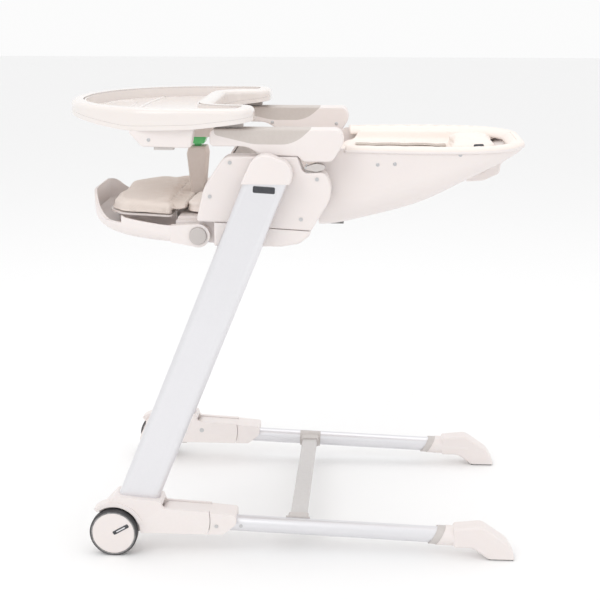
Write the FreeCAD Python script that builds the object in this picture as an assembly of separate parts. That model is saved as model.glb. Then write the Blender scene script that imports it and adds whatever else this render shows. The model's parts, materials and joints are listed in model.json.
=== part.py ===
import FreeCAD, Part
import math
import os

# High chair for a baby: raked aluminium legs on wheel housings, a base of two floor tubes that
# folds up behind the legs, and a seat carriage that slides along the legs.  Millimetres, +Z up,
# the child faces -Y.  The origin is on the floor, under the middle of the chair.  "left" is +X.

V = FreeCAD.Vector

# ---- overall layout -------------------------------------------------------------------------
HALF_TRACK = 235.0          # from the middle to the centre of each leg and base tube
LEG_RAKE = 22.1             # degrees the legs lean back
LEG_LENGTH = 658.0
LEG_WIDTH = 72.0            # seen from the side
LEG_THICK = 30.0
LEG_WALL = 2.0
LEG_ROUND = 12.0
LEG_FOOT_Y = -289.8         # centre of the leg's lower end
LEG_FOOT_Z = 74.0
CAP_HEIGHT = 54.0
CAP_Z = 688.5               # the leg's top and the cap meet on this level
CAP_OVERHANG = 3.0

# ---- base -----------------------------------------------------------------------------------
TUBE_R = 15.0
TUBE_WALL = 1.6
TUBE_SLOPE = 2.2            # degrees the tubes fall towards the rear
TUBE_AXIS_Z = 60.0          # height of the tube's axis above FOLD_Y
TUBE_FRONT = 80.0           # start of the tube, measured rearward from the fold pin
TUBE_LENGTH = 476.0
FOLD_Y = -222.0             # fold pin
FOLD_Z = 70.0
FOLD_PIN_R = 5.0
SOCKET_R = 17.0             # eye of the tube socket round the fold pin
SEAM_R = 78.0               # the housing cheeks end on this radius about the fold pin
WHEEL_Y = -321.0
WHEEL_R = 44.0
WHEEL_WIDTH = 18.0
TYRE_THICK = 5.0
AXLE_R = 4.0
HOUSING_IN = HALF_TRACK - 23.0
HOUSING_OUT = HALF_TRACK + 27.0
WHEEL_IN = HALF_TRACK + 20.0
BAR_Y = 15.0                # centre of the crossbar
BAR_WIDTH = 31.5
BAR_HEIGHT = 13.0
BAR_WALL = 2.0
FOOT_Y = 268.0              # where the rear foot's sleeve begins
FOOT_LENGTH = 145.0
PAD_THICK = 3.0

# ---- seat -----------------------------------------------------------------------------------
LEG_GAP = 7.0               # between the leg's inner face and the seat's side
COVER_DEPTH = 41.5
WALL = 3.0                  # usual thickness of a moulded shell
FRAME_THICK = 5.0
SEAT_FLOOR = 571.0
DECK_Z = 608.0
DECK_THICK = 4.0
POST_FOOT = 617.0           # top of the ledge that carries the crotch post
CUSHION_THICK = 24.0
ARM_TOP = 778.0
ARM_UNDER = 731.5
RECLINE_Y = -5.0            # hinge of the backrest
RECLINE_Z = 667.0
RECLINE_PIN_R = 6.0
EYE_R = 20.0                # rounded end of a hinge ear
HINGE_Y = -163.0            # hinge of the footrest
HINGE_Z = 588.0
HINGE_PIN_R = 6.0
HUB_R = 21.0                # rounded end of the footrest's arms
BUTTON_R = 15.5
SLIDER_LOW = 480.0          # along the leg
SLIDER_HIGH = 626.0
NECK_LOW = 590.0
NECK_HIGH = 622.0
SLOT_LOW = 170.0
NECK_HALF = 9.0

# ---- backrest -------------------------------------------------------------------------------
RIM_Z = 739.0
BACK_FRONT = 48.0
BACK_TIP = 418.0
BACK_WALL = 3.5
PANEL_Z = 672.0
PAD_TOP = 716.0
BOLSTER_TOP = 735.0
BOLSTER_IN = 118.0

# ---- footrest -------------------------------------------------------------------------------
SCOOP_REAR = -212.0
SCOOP_WALL = 4.0
ARM_IN = 193.0
ARM_OUT = 206.0
BOARD_Z = 613.0
BOARD_THICK = 3.0
CALF_PAD_THICK = 20.0

# ---- tray -----------------------------------------------------------------------------------
TRAY_HALF = 240.0
TRAY_FRONT = -420.0
TRAY_REAR = -64.0
TRAY_TOP = 814.0
TRAY_BELLY = -148.0         # front of the cut-out for the child
RIM_WIDTH = 22.0
BASIN_Z = 792.0
BASE_BAND = 8.0             # height of the tray's lower shell
INSERT_WALL = 3.0
POST_TOP = 722.0
CATCH_LOW = 727.0
CATCH_HIGH = 740.0

# ---- clearances -----------------------------------------------------------------------------
FIT = 0.05                  # radial play of a pin or tube in its hole
SLIDE = 0.4                 # between flat faces that slide
APART = 0.5                 # between parts that only lie side by side
SWING = 1.5                 # round a part that swings

SCREW_R = 3.4
SCREW_HEAD = 1.2

LEG_IN = HALF_TRACK - LEG_THICK / 2
LEG_OUT = HALF_TRACK + LEG_THICK / 2
SEAT_HALF = LEG_IN - LEG_GAP
COVER_IN = SEAT_HALF - COVER_DEPTH
FRAME_IN = COVER_IN - APART - FRAME_THICK
BACK_HALF = FRAME_IN - 4.0
NOSE_HALF = ARM_IN - 5.0
SIN_RAKE = math.sin(math.radians(LEG_RAKE))
COS_RAKE = math.cos(math.radians(LEG_RAKE))


# ---- building blocks ------------------------------------------------------------------------
def outline(corners, place):
    """A closed wire through corners (a, b, radius), each corner rounded by its radius."""
    count = len(corners)
    edges = []
    ends = []
    for i, (a, b, radius) in enumerate(corners):
        here = V(a, b, 0)
        before = V(corners[i - 1][0], corners[i - 1][1], 0) - here
        after = V(corners[(i + 1) % count][0], corners[(i + 1) % count][1], 0) - here
        before.normalize()
        after.normalize()
        half = before.getAngle(after) / 2
        if radius <= 0:
            ends.append((here, here, None))
            continue
        run = radius / math.tan(half)
        bisector = before + after
        bisector.normalize()
        middle = here + bisector * (radius / math.sin(half) - radius)
        ends.append((here + before * run, here + after * run, middle))
    for i, (start, stop, middle) in enumerate(ends):
        if middle is not None:
            edges.append(Part.Arc(place(start), place(middle), place(stop)).toShape())
        following = ends[(i + 1) % count][0]
        if (following - stop).Length > 1e-6:
            edges.append(Part.LineSegment(place(stop), place(following)).toShape())
    return Part.Wire(edges)


def prism_x(corners, low, high):
    """Corners are (y, z, radius); the solid runs from X=low to X=high."""
    wire = outline(corners, lambda p: V(low, p.x, p.y))
    return Part.Face(wire).extrude(V(high - low, 0, 0))


def plate_x(corners, inset, low, high):
    """As prism_x, with the outline moved inward by inset."""
    face = Part.Face(outline(corners, lambda p: V(low, p.x, p.y)))
    return face.makeOffset2D(-inset).extrude(V(high - low, 0, 0))


def prism_y(corners, low, high):
    """Corners are (x, z, radius)."""
    wire = outline(corners, lambda p: V(p.x, low, p.y))
    return Part.Face(wire).extrude(V(0, high - low, 0))


def prism_z(corners, low, high):
    """Corners are (x, y, radius)."""
    wire = outline(corners, lambda p: V(p.x, p.y, low))
    return Part.Face(wire).extrude(V(0, 0, high - low))


def rod_x(y, z, radius, low, high):
    return Part.makeCylinder(radius, high - low, V(low, y, z), V(1, 0, 0))


def box(x, y, z):
    return Part.makeBox(x[1] - x[0], y[1] - y[0], z[1] - z[0], V(x[0], y[0], z[0]))


def mirrored(shape):
    return shape.mirror(V(0, 0, 0), V(1, 0, 0))


def both(shape):
    return [shape, mirrored(shape)]


def rounded(shape, radius, chosen):
    """Fillet the edges for which chosen(bounding box) is true."""
    edges = [edge for edge in shape.Edges if chosen(edge.BoundBox)]
    return shape.makeFillet(radius, edges)


def at_x(value):
    return lambda bounds: abs(bounds.XMin - value) < 0.01 and abs(bounds.XMax - value) < 0.01


def at_z(value):
    return lambda bounds: abs(bounds.ZMin - value) < 0.01 and abs(bounds.ZMax - value) < 0.01


def save(name, shape):
    if isinstance(shape, list):
        shape = Part.makeCompound(shape)
    else:
        solids = shape.Solids
        shape = solids[0] if len(solids) == 1 else Part.makeCompound(solids)
    shape.exportStep("parts/" + name + ".step")


def save_pair(name, shape):
    save(name + "_left", shape)
    save(name + "_right", mirrored(shape))


def on_leg(shape):
    """From the leg's own frame (X outboard of its centre, Y across, Z along) to the chair."""
    placed = shape.copy()
    placed.rotate(V(0, 0, 0), V(1, 0, 0), -LEG_RAKE)
    placed.translate(V(HALF_TRACK, LEG_FOOT_Y, LEG_FOOT_Z))
    return placed


def on_tube(shape):
    """From the tube's own frame (Y rearward from above the fold pin) to the chair."""
    placed = shape.copy()
    placed.rotate(V(0, 0, 0), V(1, 0, 0), -TUBE_SLOPE)
    placed.translate(V(HALF_TRACK, FOLD_Y, TUBE_AXIS_Z))
    return placed


def tube_height(y):
    return TUBE_AXIS_Z - (y - FOLD_Y) * math.tan(math.radians(TUBE_SLOPE))


def leg_section(grow, low, high):
    """The leg's rounded section, larger by grow all round."""
    x = LEG_THICK / 2 + grow
    y = LEG_WIDTH / 2 + grow
    r = LEG_ROUND + grow
    return prism_z([(-x, -y, r), (x, -y, r), (x, y, r), (-x, y, r)], low, high)


# ---- legs -----------------------------------------------------------------------------------
def leg():
    high = LEG_LENGTH + CAP_HEIGHT
    body = leg_section(0, 0, high)
    body = body.cut(leg_section(-LEG_WALL, -1, high + 1))
    half = NECK_HALF + SLIDE
    slot = box((-LEG_THICK, -LEG_THICK / 2 + LEG_WALL + 1), (-half, half), (SLOT_LOW, high + 1))
    return on_leg(body.cut(slot)).common(box((0, 400), (-400, 400), (0, CAP_Z)))


def leg_cap():
    side = LEG_WIDTH / 2 + CAP_OVERHANG
    low = LEG_LENGTH - 30
    top = LEG_LENGTH + CAP_HEIGHT
    shape = outline([(-side, low, 0), (-side + 3, top, 30), (side + 2, top, 28), (side, low, 0)],
                    lambda p: V(-LEG_THICK / 2 - CAP_OVERHANG, p.x, p.y))
    body = Part.Face(shape).extrude(V(LEG_THICK + 2 * CAP_OVERHANG, 0, 0))
    edges = [e for e in body.Edges if e.BoundBox.XLength < 0.01 and e.BoundBox.ZMax > low + 1]
    body = on_leg(body.makeFillet(4.0, edges)).common(box((0, 400), (-400, 400), (CAP_Z, 900)))
    return body.fuse(on_leg(leg_section(-LEG_WALL - 0.3, low + 2, low + 55))).removeSplitter()


# ---- wheel housings -------------------------------------------------------------------------
def pie(radius, first, last, low, high):
    """A sector about the wheel's axle, between two angles measured up from +Y."""
    reach = radius * 2
    corners = [(WHEEL_Y, WHEEL_R, 0)]
    for angle in (first, (first + last) / 2, last):
        turn = math.radians(angle)
        corners.append((WHEEL_Y + reach * math.cos(turn), WHEEL_R + reach * math.sin(turn), 0))
    return rod_x(WHEEL_Y, WHEEL_R, radius, low, high).common(prism_x(corners, low, high))


def socket_space():
    """Room between the cheeks for the tube socket, open behind the leg from 0 to the full fold."""
    across = (FOLD_Y - LEG_FOOT_Y) * COS_RAKE - (FOLD_Z - LEG_FOOT_Z) * SIN_RAKE
    behind = box((-18.6, 18.6), (across - SOCKET_R - SWING, 400), (-300, 400))
    above = box((0, 400), (-400, 400), (45.5, 400))
    return on_leg(behind).common(above)


def hinge_housing():
    block = prism_x([(-319, 112, 5), (-235, 104, 4), (-230, 90, 6), (-120, 84, 0), (-120, 41.5, 0),
                     (-300, 41.5, 0), (-345, 55, 0), (-345, 85, 0)], HOUSING_IN, HOUSING_OUT)
    beyond = box((0, 400), (FOLD_Y + 30, 0), (0, 200))
    beyond = beyond.cut(rod_x(FOLD_Y, FOLD_Z, SEAM_R, 0, 400))
    block = block.cut(beyond)
    block = block.fuse(rod_x(WHEEL_Y, WHEEL_R, 38, HOUSING_IN, WHEEL_IN - 1))
    block = block.fuse(pie(WHEEL_R + 12, 20, 130, HALF_TRACK + 4, HOUSING_OUT + 2))
    block = block.removeSplitter()
    block = block.cut(rod_x(WHEEL_Y, WHEEL_R, WHEEL_R + 4, WHEEL_IN - 1, 400))
    block = block.cut(on_leg(leg_section(0.2, 0, 200)))
    block = block.cut(socket_space())
    block = block.cut(rod_x(WHEEL_Y, WHEEL_R, AXLE_R, HOUSING_IN - 1, 400))
    block = block.cut(rod_x(FOLD_Y, FOLD_Z, FOLD_PIN_R, HOUSING_IN - 1, HOUSING_OUT - 2))
    return block.cut(fold_button(APART, 5.0))


def fold_button(grow=0.0, travel=0.0):
    """Release button in the underside of the housing."""
    x = (HALF_TRACK - 7 - grow, HALF_TRACK + 7 + grow)
    return box(x, (-276 - grow, -258 + grow), (34 - grow, 49 + travel + grow))


def wheel_hub():
    disc = rod_x(WHEEL_Y, WHEEL_R, WHEEL_R - TYRE_THICK, WHEEL_IN, WHEEL_IN + WHEEL_WIDTH)
    disc = rounded(disc, 2.0, at_x(WHEEL_IN + WHEEL_WIDTH))
    disc = disc.cut(rod_x(WHEEL_Y, WHEEL_R, WHEEL_R - TYRE_THICK - 5, WHEEL_IN - 1, WHEEL_IN + 5))
    boss = rod_x(WHEEL_Y, WHEEL_R, 11, WHEEL_IN, WHEEL_IN + 6)
    disc = disc.fuse(boss)
    return disc.cut(rod_x(WHEEL_Y, WHEEL_R, AXLE_R + FIT, WHEEL_IN - 1, WHEEL_IN + WHEEL_WIDTH - 3))


def tyre():
    ring = rod_x(WHEEL_Y, WHEEL_R, WHEEL_R, WHEEL_IN + 0.5, WHEEL_IN + WHEEL_WIDTH - 0.5)
    ring = rounded(ring, 2.5, lambda b: b.XLength < 0.01)
    return ring.cut(rod_x(WHEEL_Y, WHEEL_R, WHEEL_R - TYRE_THICK, WHEEL_IN - 1, 400))


def wheel_axle():
    return rod_x(WHEEL_Y, WHEEL_R, AXLE_R, HOUSING_IN, WHEEL_IN + WHEEL_WIDTH - 3.5)


def fold_pin():
    return rod_x(FOLD_Y, FOLD_Z, FOLD_PIN_R, HOUSING_IN, HOUSING_OUT - 2)


# ---- base frame -----------------------------------------------------------------------------
def tube_solid(radius, start, stop):
    return on_tube(Part.makeCylinder(radius, stop - start, V(0, start, 0), V(0, 1, 0)))


def tube_rivets(grow=0.0):
    """Heads in the outer side of the tube, just behind its socket."""
    return on_tube(Part.makeCylinder(SCREW_R, 4.0, V(TUBE_R - 3, 134, 0), V(1, 0, 0)))


def tube_socket():
    inner = (HALF_TRACK - 18.0, HALF_TRACK + 18.0)
    body = rod_x(FOLD_Y, FOLD_Z, SOCKET_R, *inner)
    body = body.fuse(prism_x([(FOLD_Y, FOLD_Z + SOCKET_R, 0), (-110, 81, 0), (-110, 46.5, 0),
                              (FOLD_Y + 10, 46.5, 0), (FOLD_Y, FOLD_Z - SOCKET_R, 0)], *inner))
    end = prism_x([(-160, 85, 0), (-96, 79.5, 5), (-96, 62, 6), (-120, 41.5, 8), (-160, 41.5, 0)],
                  HOUSING_IN + 1, HOUSING_OUT - 1)
    end = end.cut(rod_x(FOLD_Y, FOLD_Z, SEAM_R + 1, 0, 400))
    body = body.fuse(end).removeSplitter()
    body = body.cut(tube_solid(TUBE_R + FIT, TUBE_FRONT, 200))
    return body.cut(rod_x(FOLD_Y, FOLD_Z, FOLD_PIN_R + FIT, 0, 400))


def base_tube():
    body = tube_solid(TUBE_R, TUBE_FRONT, TUBE_FRONT + TUBE_LENGTH)
    body = body.cut(tube_solid(TUBE_R - TUBE_WALL, TUBE_FRONT - 1, TUBE_FRONT + TUBE_LENGTH + 1))
    return body.cut(tube_rivets())


def slanted_start(y, lean):
    """Everything behind a plane across the tube that leans rearward going up."""
    z = tube_height(y)
    return prism_x([(y - lean, z - 30, 0), (y + lean, z + 30, 0), (y + 400, z + 30, 0),
                    (y + 400, z - 30, 0)], 0, 400)


def rear_foot():
    y = FOOT_Y
    axis = tube_height(y + 40)
    sleeve = tube_solid(TUBE_R + 3.5, y - FOLD_Y - 30, y - FOLD_Y + 90)
    sleeve = sleeve.common(slanted_start(y + 10, 16))
    block = prism_x([(y + 32, axis + 20, 6), (y + 84, axis + 26, 22), (y + 130, axis - 6, 22),
                     (y + FOOT_LENGTH - 3, PAD_THICK + 10, 8), (y + FOOT_LENGTH, PAD_THICK, 0),
                     (y + 95, PAD_THICK, 0), (y + 68, axis - 17, 24), (y + 32, axis - 17, 6)],
                    HALF_TRACK - 18, HALF_TRACK + 19)
    block = rounded(block, 5.0, lambda b: b.XLength < 0.01 and b.ZMin > PAD_THICK + 0.5)
    body = sleeve.fuse(block)
    return body.cut(tube_solid(TUBE_R + FIT, 300, TUBE_FRONT + TUBE_LENGTH))


def foot_pad():
    y = FOOT_Y
    return box((HALF_TRACK - 15, HALF_TRACK + 16), (y + 98, y + FOOT_LENGTH - 3), (0, PAD_THICK))


def tube_collar():
    start = FOOT_Y - FOLD_Y
    ring = tube_solid(TUBE_R + 2.5, start - 60, start + 60)
    ring = ring.common(slanted_start(FOOT_Y - 4, 16)).cut(slanted_start(FOOT_Y + 10, 16))
    return ring.cut(tube_solid(TUBE_R + FIT, start - 70, start + 70))


def bar_section(grow, low, high):
    y = BAR_WIDTH / 2 + grow
    z = BAR_HEIGHT / 2 + grow
    centre = tube_height(BAR_Y) + 2
    return prism_x([(BAR_Y - y, centre - z, 4), (BAR_Y + y, centre - z, 4), (BAR_Y + y, centre + z, 4),
                    (BAR_Y - y, centre + z, 4)], low, high)


def crossbar():
    reach = HALF_TRACK - TUBE_R - 3.6
    return bar_section(0, -reach, reach).cut(bar_section(-BAR_WALL, -reach - 1, reach + 1))


def bar_clamp():
    start = BAR_Y - FOLD_Y
    ring = tube_solid(TUBE_R + 3.0, start - 22, start + 22).common(box((0, HALF_TRACK - 6), (-50, 90), (0, 200)))
    horn = bar_section(3, HALF_TRACK - TUBE_R - 22, HALF_TRACK - TUBE_R)
    body = ring.fuse(horn)
    body = body.cut(tube_solid(TUBE_R + FIT, start - 30, start + 30))
    return body.cut(bar_section(0.1, 0, HALF_TRACK - TUBE_R - 3.5))


def base_screws():
    """Heads in the socket's outer face and in the tube behind it."""
    face = HOUSING_OUT - 1
    head = rod_x(-132, 58, SCREW_R, face, face + SCREW_HEAD)
    return both(head) + both(tube_rivets().cut(tube_solid(TUBE_R - TUBE_WALL, 100, 200)))


# ---- seat carriage --------------------------------------------------------------------------
def carriage_slider():
    """Block inside the leg, with a neck through the leg's slot to the seat's side frame."""
    block = leg_section(-LEG_WALL - SLIDE, SLIDER_LOW, SLIDER_HIGH)
    block = block.cut(leg_section(-LEG_WALL - SLIDE - 5, SLIDER_LOW - 1, SLIDER_HIGH + 1))
    neck_low = COVER_IN - APART - HALF_TRACK
    neck = box((neck_low, -LEG_THICK / 2 + LEG_WALL + 4), (-NECK_HALF, NECK_HALF),
               (NECK_LOW, NECK_HIGH))
    return on_leg(block.fuse(neck))


def neck_hole():
    hole = box((-80, 0), (-NECK_HALF - APART, NECK_HALF + APART),
               (NECK_LOW - APART, NECK_HIGH + APART))
    return on_leg(hole)


def cover_corners():
    top = ARM_UNDER - 0.5
    return [(-165, 615, 5), (-151, 676, 90), (-114, top, 26), (14, top, 5), (24, 702, 12), (62, 704, 14),
            (78, 668, 48), (38, 600, 7), (-34, 604, 0), (-101, 613, 0)]


def seat_side_cover():
    body = prism_x(cover_corners(), COVER_IN, SEAT_HALF)
    body = rounded(body, 4.0, at_x(SEAT_HALF))
    body = body.cut(plate_x(cover_corners(), WALL + 1, COVER_IN - 1, SEAT_HALF - WALL))
    return body.cut(neck_hole())


def seat_frame():
    """Plate inside each cover: it carries the slider, the armrest and the recline pin."""
    plate = plate_x(cover_corners(), 6.0, FRAME_IN, COVER_IN - APART)
    return plate.cut(rod_x(RECLINE_Y, RECLINE_Z, RECLINE_PIN_R, 0, 400))


def recline_pin():
    return rod_x(RECLINE_Y, RECLINE_Z, RECLINE_PIN_R, FRAME_IN - 11, COVER_IN + 12)


def seat_base():
    """Lower shell, open on top, with a nose between the footrest's arms."""
    pan = prism_x([(-134, 613.5, 0), (-101, 612.5, 0), (-34, 603.5, 0), (37, 599.5, 0), (36, 592, 8),
                   (18, 577, 16), (-14, SEAT_FLOOR, 30), (-134, SEAT_FLOOR, 4)], -SEAT_HALF, SEAT_HALF)
    pan = rounded(pan, 5.0, lambda b: b.XLength < 0.01 and b.ZMax < 600 and b.YLength > 1)
    nose = prism_x([(-120, SEAT_FLOOR, 0), (-186, SEAT_FLOOR + 5, 14), (-206, 602, 10), (-204, 612.4, 0),
                    (-120, 612.4, 0)], -NOSE_HALF, NOSE_HALF)
    ledge = prism_x([(-204, 611, 0), (-203, POST_FOOT, 4), (-131, POST_FOOT, 0), (-131, 611, 0)],
                    -COVER_IN + 1, COVER_IN - 1)
    hub_room = rod_x(HINGE_Y, HINGE_Z, HUB_R + SWING, NOSE_HALF, 400)
    body = pan.fuse(nose).fuse(ledge).removeSplitter()
    for room in both(hub_room):
        body = body.cut(room)
    inside = SEAT_HALF - WALL - 1
    pocket = prism_x([(-130, SEAT_FLOOR + 4, 0), (-16, SEAT_FLOOR + 4, 20), (14, 581, 8), (32, 594, 0),
                      (32, 640, 0), (-130, 640, 0)], -inside, inside)
    body = body.cut(pocket)
    front = prism_x([(-130.5, SEAT_FLOOR + 5, 0), (-183, SEAT_FLOOR + 9, 10), (-201, 603, 8),
                     (-199, 613, 0), (-130.5, 613, 0)], -NOSE_HALF + 22, NOSE_HALF - 22)
    body = body.cut(front)
    for pin in both(footrest_pin()):
        body = body.cut(pin)
    return body


def footrest_pin():
    return rod_x(HINGE_Y, HINGE_Z, HINGE_PIN_R, NOSE_HALF - 21, ARM_OUT - 7)


def seat_deck():
    """Panel that closes the pan between the side frames."""
    x = FRAME_IN - APART
    return prism_z([(-x, -129.5, 4), (x, -129.5, 4), (x, 30, 10), (-x, 30, 10)], DECK_Z, DECK_Z + DECK_THICK)


def seat_cushion():
    x = FRAME_IN - 6
    low = 617.5
    body = prism_z([(-x, -196, 30), (x, -196, 30), (x, 22, 14), (-x, 22, 14)], low, low + CUSHION_THICK)
    body = rounded(body, 7.0, at_z(low + CUSHION_THICK))
    return body.cut(box((-26, 26), (-215, -170), (600, 700)))


def armrest_solid():
    corners = [(-139, ARM_TOP, 10), (-139, 748, 8), (-74, 748, 40), (-48, ARM_UNDER + 1, 20),
               (14, ARM_UNDER, 6), (24, 722, 6), (74, 722, 14), (95, 756, 18), (88, ARM_TOP, 14)]
    body = prism_x(corners, COVER_IN - 2, SEAT_HALF)
    return rounded(rounded(body, 3.0, at_x(SEAT_HALF)), 3.0, at_x(COVER_IN - 2))


def inlay_region():
    return prism_x([(-131, 800, 0), (-131, 768, 8), (-62, 752, 90), (8, 752, 60), (60, 800, 0)],
                   COVER_IN - 10, SEAT_HALF + 5)


def armrest():
    return armrest_solid().cut(inlay_region())


def armrest_inlay():
    return armrest_solid().common(inlay_region())


def height_lever():
    """Lens-shaped lever under the armrest's rear end."""
    return prism_x([(22, 711, 3), (47, 719.5, 18), (71, 713, 4), (47, 704, 18)],
                   SEAT_HALF - 20, SEAT_HALF - 2).cut(rod_x(28, 711.4, 2 + FIT, 0, 400))


def seat_pins():
    """Steel pins of the carriage: recline, footrest and height levers."""
    return both(recline_pin()) + both(footrest_pin()) + both(lever_pin())


def lever_pin():
    return rod_x(28, 711.4, 2, COVER_IN, SEAT_HALF - 3)


def crotch_post():
    body = prism_x([(-204, POST_TOP, 3), (-171, POST_TOP, 3), (-168, 708, 5), (-177, 617.2, 0),
                    (-199, 617.2, 0), (-208, 708, 5)], -20, 20)
    body = rounded(body, 5.0, lambda b: b.XLength < 0.01 and b.ZLength > 60)
    return body.cut(box((-8.5, 8.5), (-194.5, -181.5), (690, 800)))


def post_catch():
    head = prism_x([(-203, CATCH_LOW, 2), (-175, CATCH_LOW, 2), (-170, CATCH_HIGH, 2),
                    (-198, CATCH_HIGH, 2)], -17, 17)
    stem = box((-8, 8), (-194, -182), (700, CATCH_LOW + 1))
    return head.fuse(stem)


def cover_screws():
    """Round heads on the side covers."""
    heads = []
    for y, z in ((-104, 720), (-140, 660), (48, 692), (20, 621)):
        heads += both(rod_x(y, z, SCREW_R, SEAT_HALF, SEAT_HALF + SCREW_HEAD))
    return heads


def buckle():
    low = 617.5 + CUSHION_THICK + APART
    body = box((-20, 20), (-166, -136), (low, low + 12))
    return rounded(body, 3.0, lambda b: b.ZLength < 0.01 and b.ZMin > low + 1)


def waist_strap():
    low = 617.5 + CUSHION_THICK + APART
    return box((20.5, FRAME_IN - APART), (-162, -140), (low, low + 2.5))


# ---- backrest -------------------------------------------------------------------------------
# station, half-width, depth below the rim, radius of the lower corners
BACK_STATIONS = [(0.0, 1.0, 143, 46), (0.12, 1.0, 139, 52), (0.3, 1.05, 122, 56), (0.5, 1.09, 97, 50),
                 (0.68, 1.07, 63, 38), (0.82, 0.98, 37, 24), (0.92, 0.80, 20, 12), (0.98, 0.56, 11, 6),
                 (1.0, 0.36, 8.5, 4)]


def hull(stations, half_of, y_of, depth_of, radius_of, top, lid):
    """Loft of U-shaped sections, closed at the height top + lid."""
    wires = []
    for station in stations:
        half = half_of(station)
        y = y_of(station)
        low = top - depth_of(station)
        r = radius_of(station)
        wires.append(outline([(-half, top + lid, 0), (-half, low, r), (half, low, r),
                              (half, top + lid, 0)], lambda p, y=y: V(p.x, y, p.y)))
    return Part.makeLoft(wires, True, False)


def back_hull(inset, lid, top=RIM_Z):
    span = BACK_TIP - BACK_FRONT
    return hull(BACK_STATIONS,
                lambda s: BACK_HALF * s[1] - inset,
                lambda s: BACK_FRONT + span * s[0] - inset * (s[0] * 2 - 1 if s[0] in (0.0, 1.0) else 0),
                lambda s: max(s[2] - inset, 4.0) + top - RIM_Z,
                lambda s: max(s[3] - inset, 2.0), top, lid)


def back_ear():
    """Arm from the shell's front end to the recline pin."""
    corners = [(RECLINE_Y - EYE_R, RECLINE_Z + EYE_R, EYE_R - 0.5),
               (RECLINE_Y - EYE_R, RECLINE_Z - EYE_R, EYE_R - 0.5), (70, 641, 0), (70, 700, 0)]
    return prism_x(corners, BACK_HALF - 8, BACK_HALF)


def backrest_shell():
    body = back_hull(0, 0).cut(back_hull(BACK_WALL, 20))
    slope = prism_x([(BACK_FRONT - 10, 715, 0), (BACK_FRONT + 42, RIM_Z + 1, 0), (BACK_FRONT - 10, RIM_Z + 1, 0)],
                    -400, 400)
    body = body.cut(slope)
    for side in both(back_ear()):
        body = body.fuse(side)
    for lug in handle_lugs():
        body = body.fuse(lug)
    hole = rod_x(RECLINE_Y, RECLINE_Z, RECLINE_PIN_R + FIT, -400, 400)
    return body.removeSplitter().cut(hole).cut(rod_x(HANDLE_Y, HANDLE_Z, 3.0, -60, 60))


HANDLE_Y = 374.0            # hinge of the recline handle
HANDLE_Z = 703.0
HANDLE_HALF = 34.0


def handle_lugs():
    x = HANDLE_HALF + 1.5
    lug = prism_x([(364, 745, 0), (364, 697, 6), (384, 697, 6), (390, 742, 0)], x, x + 5)
    lug = lug.cut(back_hull(BACK_WALL, 20))
    return both(lug)


def handle_pin():
    return rod_x(HANDLE_Y, HANDLE_Z, 3.0, -HANDLE_HALF - 6, HANDLE_HALF + 6)


def recline_handle():
    corners = [(311, 669, 4), (320, 662, 5), (350, 664, 20), (380, 678, 12), (382, 709, 6), (367, 709, 6),
               (362, 690, 8), (344, 678, 16), (318, 677, 4)]
    body = prism_x(corners, -HANDLE_HALF, HANDLE_HALF)
    body = rounded(body, 3.0, lambda b: b.XLength < 0.01 and b.ZMax < 690)
    return body.cut(rod_x(HANDLE_Y, HANDLE_Z, 3.0 + FIT, -60, 60))


def clear_of_shell(lining):
    for ear in both(back_ear()):
        lining = lining.cut(ear)
    return lining.common(back_hull(BACK_WALL, 20))


def back_panel():
    slab = box((-400, 400), (BACK_FRONT + 6, 500), (PANEL_Z - 3, PANEL_Z))
    return clear_of_shell(back_hull(BACK_WALL + 0.4, 0).common(slab))


def back_pad():
    """Padding on the panel, with a raised bolster along each side."""
    front = BACK_FRONT + 8
    side = [(front, PANEL_Z + 0.5, 0), (front, PANEL_Z + 20, 0), (front + 36, PAD_TOP, 30)]
    middle = prism_x(side + [(BACK_TIP - 18, PAD_TOP, 0), (BACK_TIP - 18, PANEL_Z + 0.5, 0)], -400, 400)
    raised = prism_x([(front + 44, PAD_TOP - 5, 0), (front + 60, BOLSTER_TOP, 12),
                      (BACK_TIP - 18, BOLSTER_TOP, 0), (BACK_TIP - 18, PAD_TOP - 5, 0)], BOLSTER_IN, 400)
    for bolster in both(raised):
        middle = middle.fuse(bolster)
    return clear_of_shell(back_hull(BACK_WALL + 3, 0).common(middle))


def headrest():
    low = PAD_TOP + APART
    body = prism_z([(-93, 285, 20), (93, 285, 20), (76, 372, 30), (-76, 372, 30)], low, low + 22)
    return rounded(body, 7.0, at_z(low + 22))


def shoulder_strap():
    low = PAD_TOP + APART
    return box((28, 54), (110, 282), (low, low + 2.5))


def shell_bumper():
    """Stop under the shell's front end."""
    block = box((-60, 60), (67, 91), (585, 640))
    return block.cut(back_hull(0, 0))


# ---- footrest -------------------------------------------------------------------------------
# y, half-width, bottom, radius of the lower corners
SCOOP_STATIONS = [(0, 0, 0, 14), (-40, -8, 1, 20), (-92, -27, 5, 26), (-130, -56, 12, 30),
                  (-152, -94, 21, 26), (-164, -140, 31, 18)]


def scoop_hull(inset):
    top = 660.0
    floor = SEAT_FLOOR + 4
    return hull(SCOOP_STATIONS,
                lambda s: ARM_OUT + s[1] - inset,
                lambda s: SCOOP_REAR + s[0] + (inset if s[0] else -inset * -3),
                lambda s: top - floor - s[2] - inset,
                lambda s: s[3] - inset * 0.5, top, 0)


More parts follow.
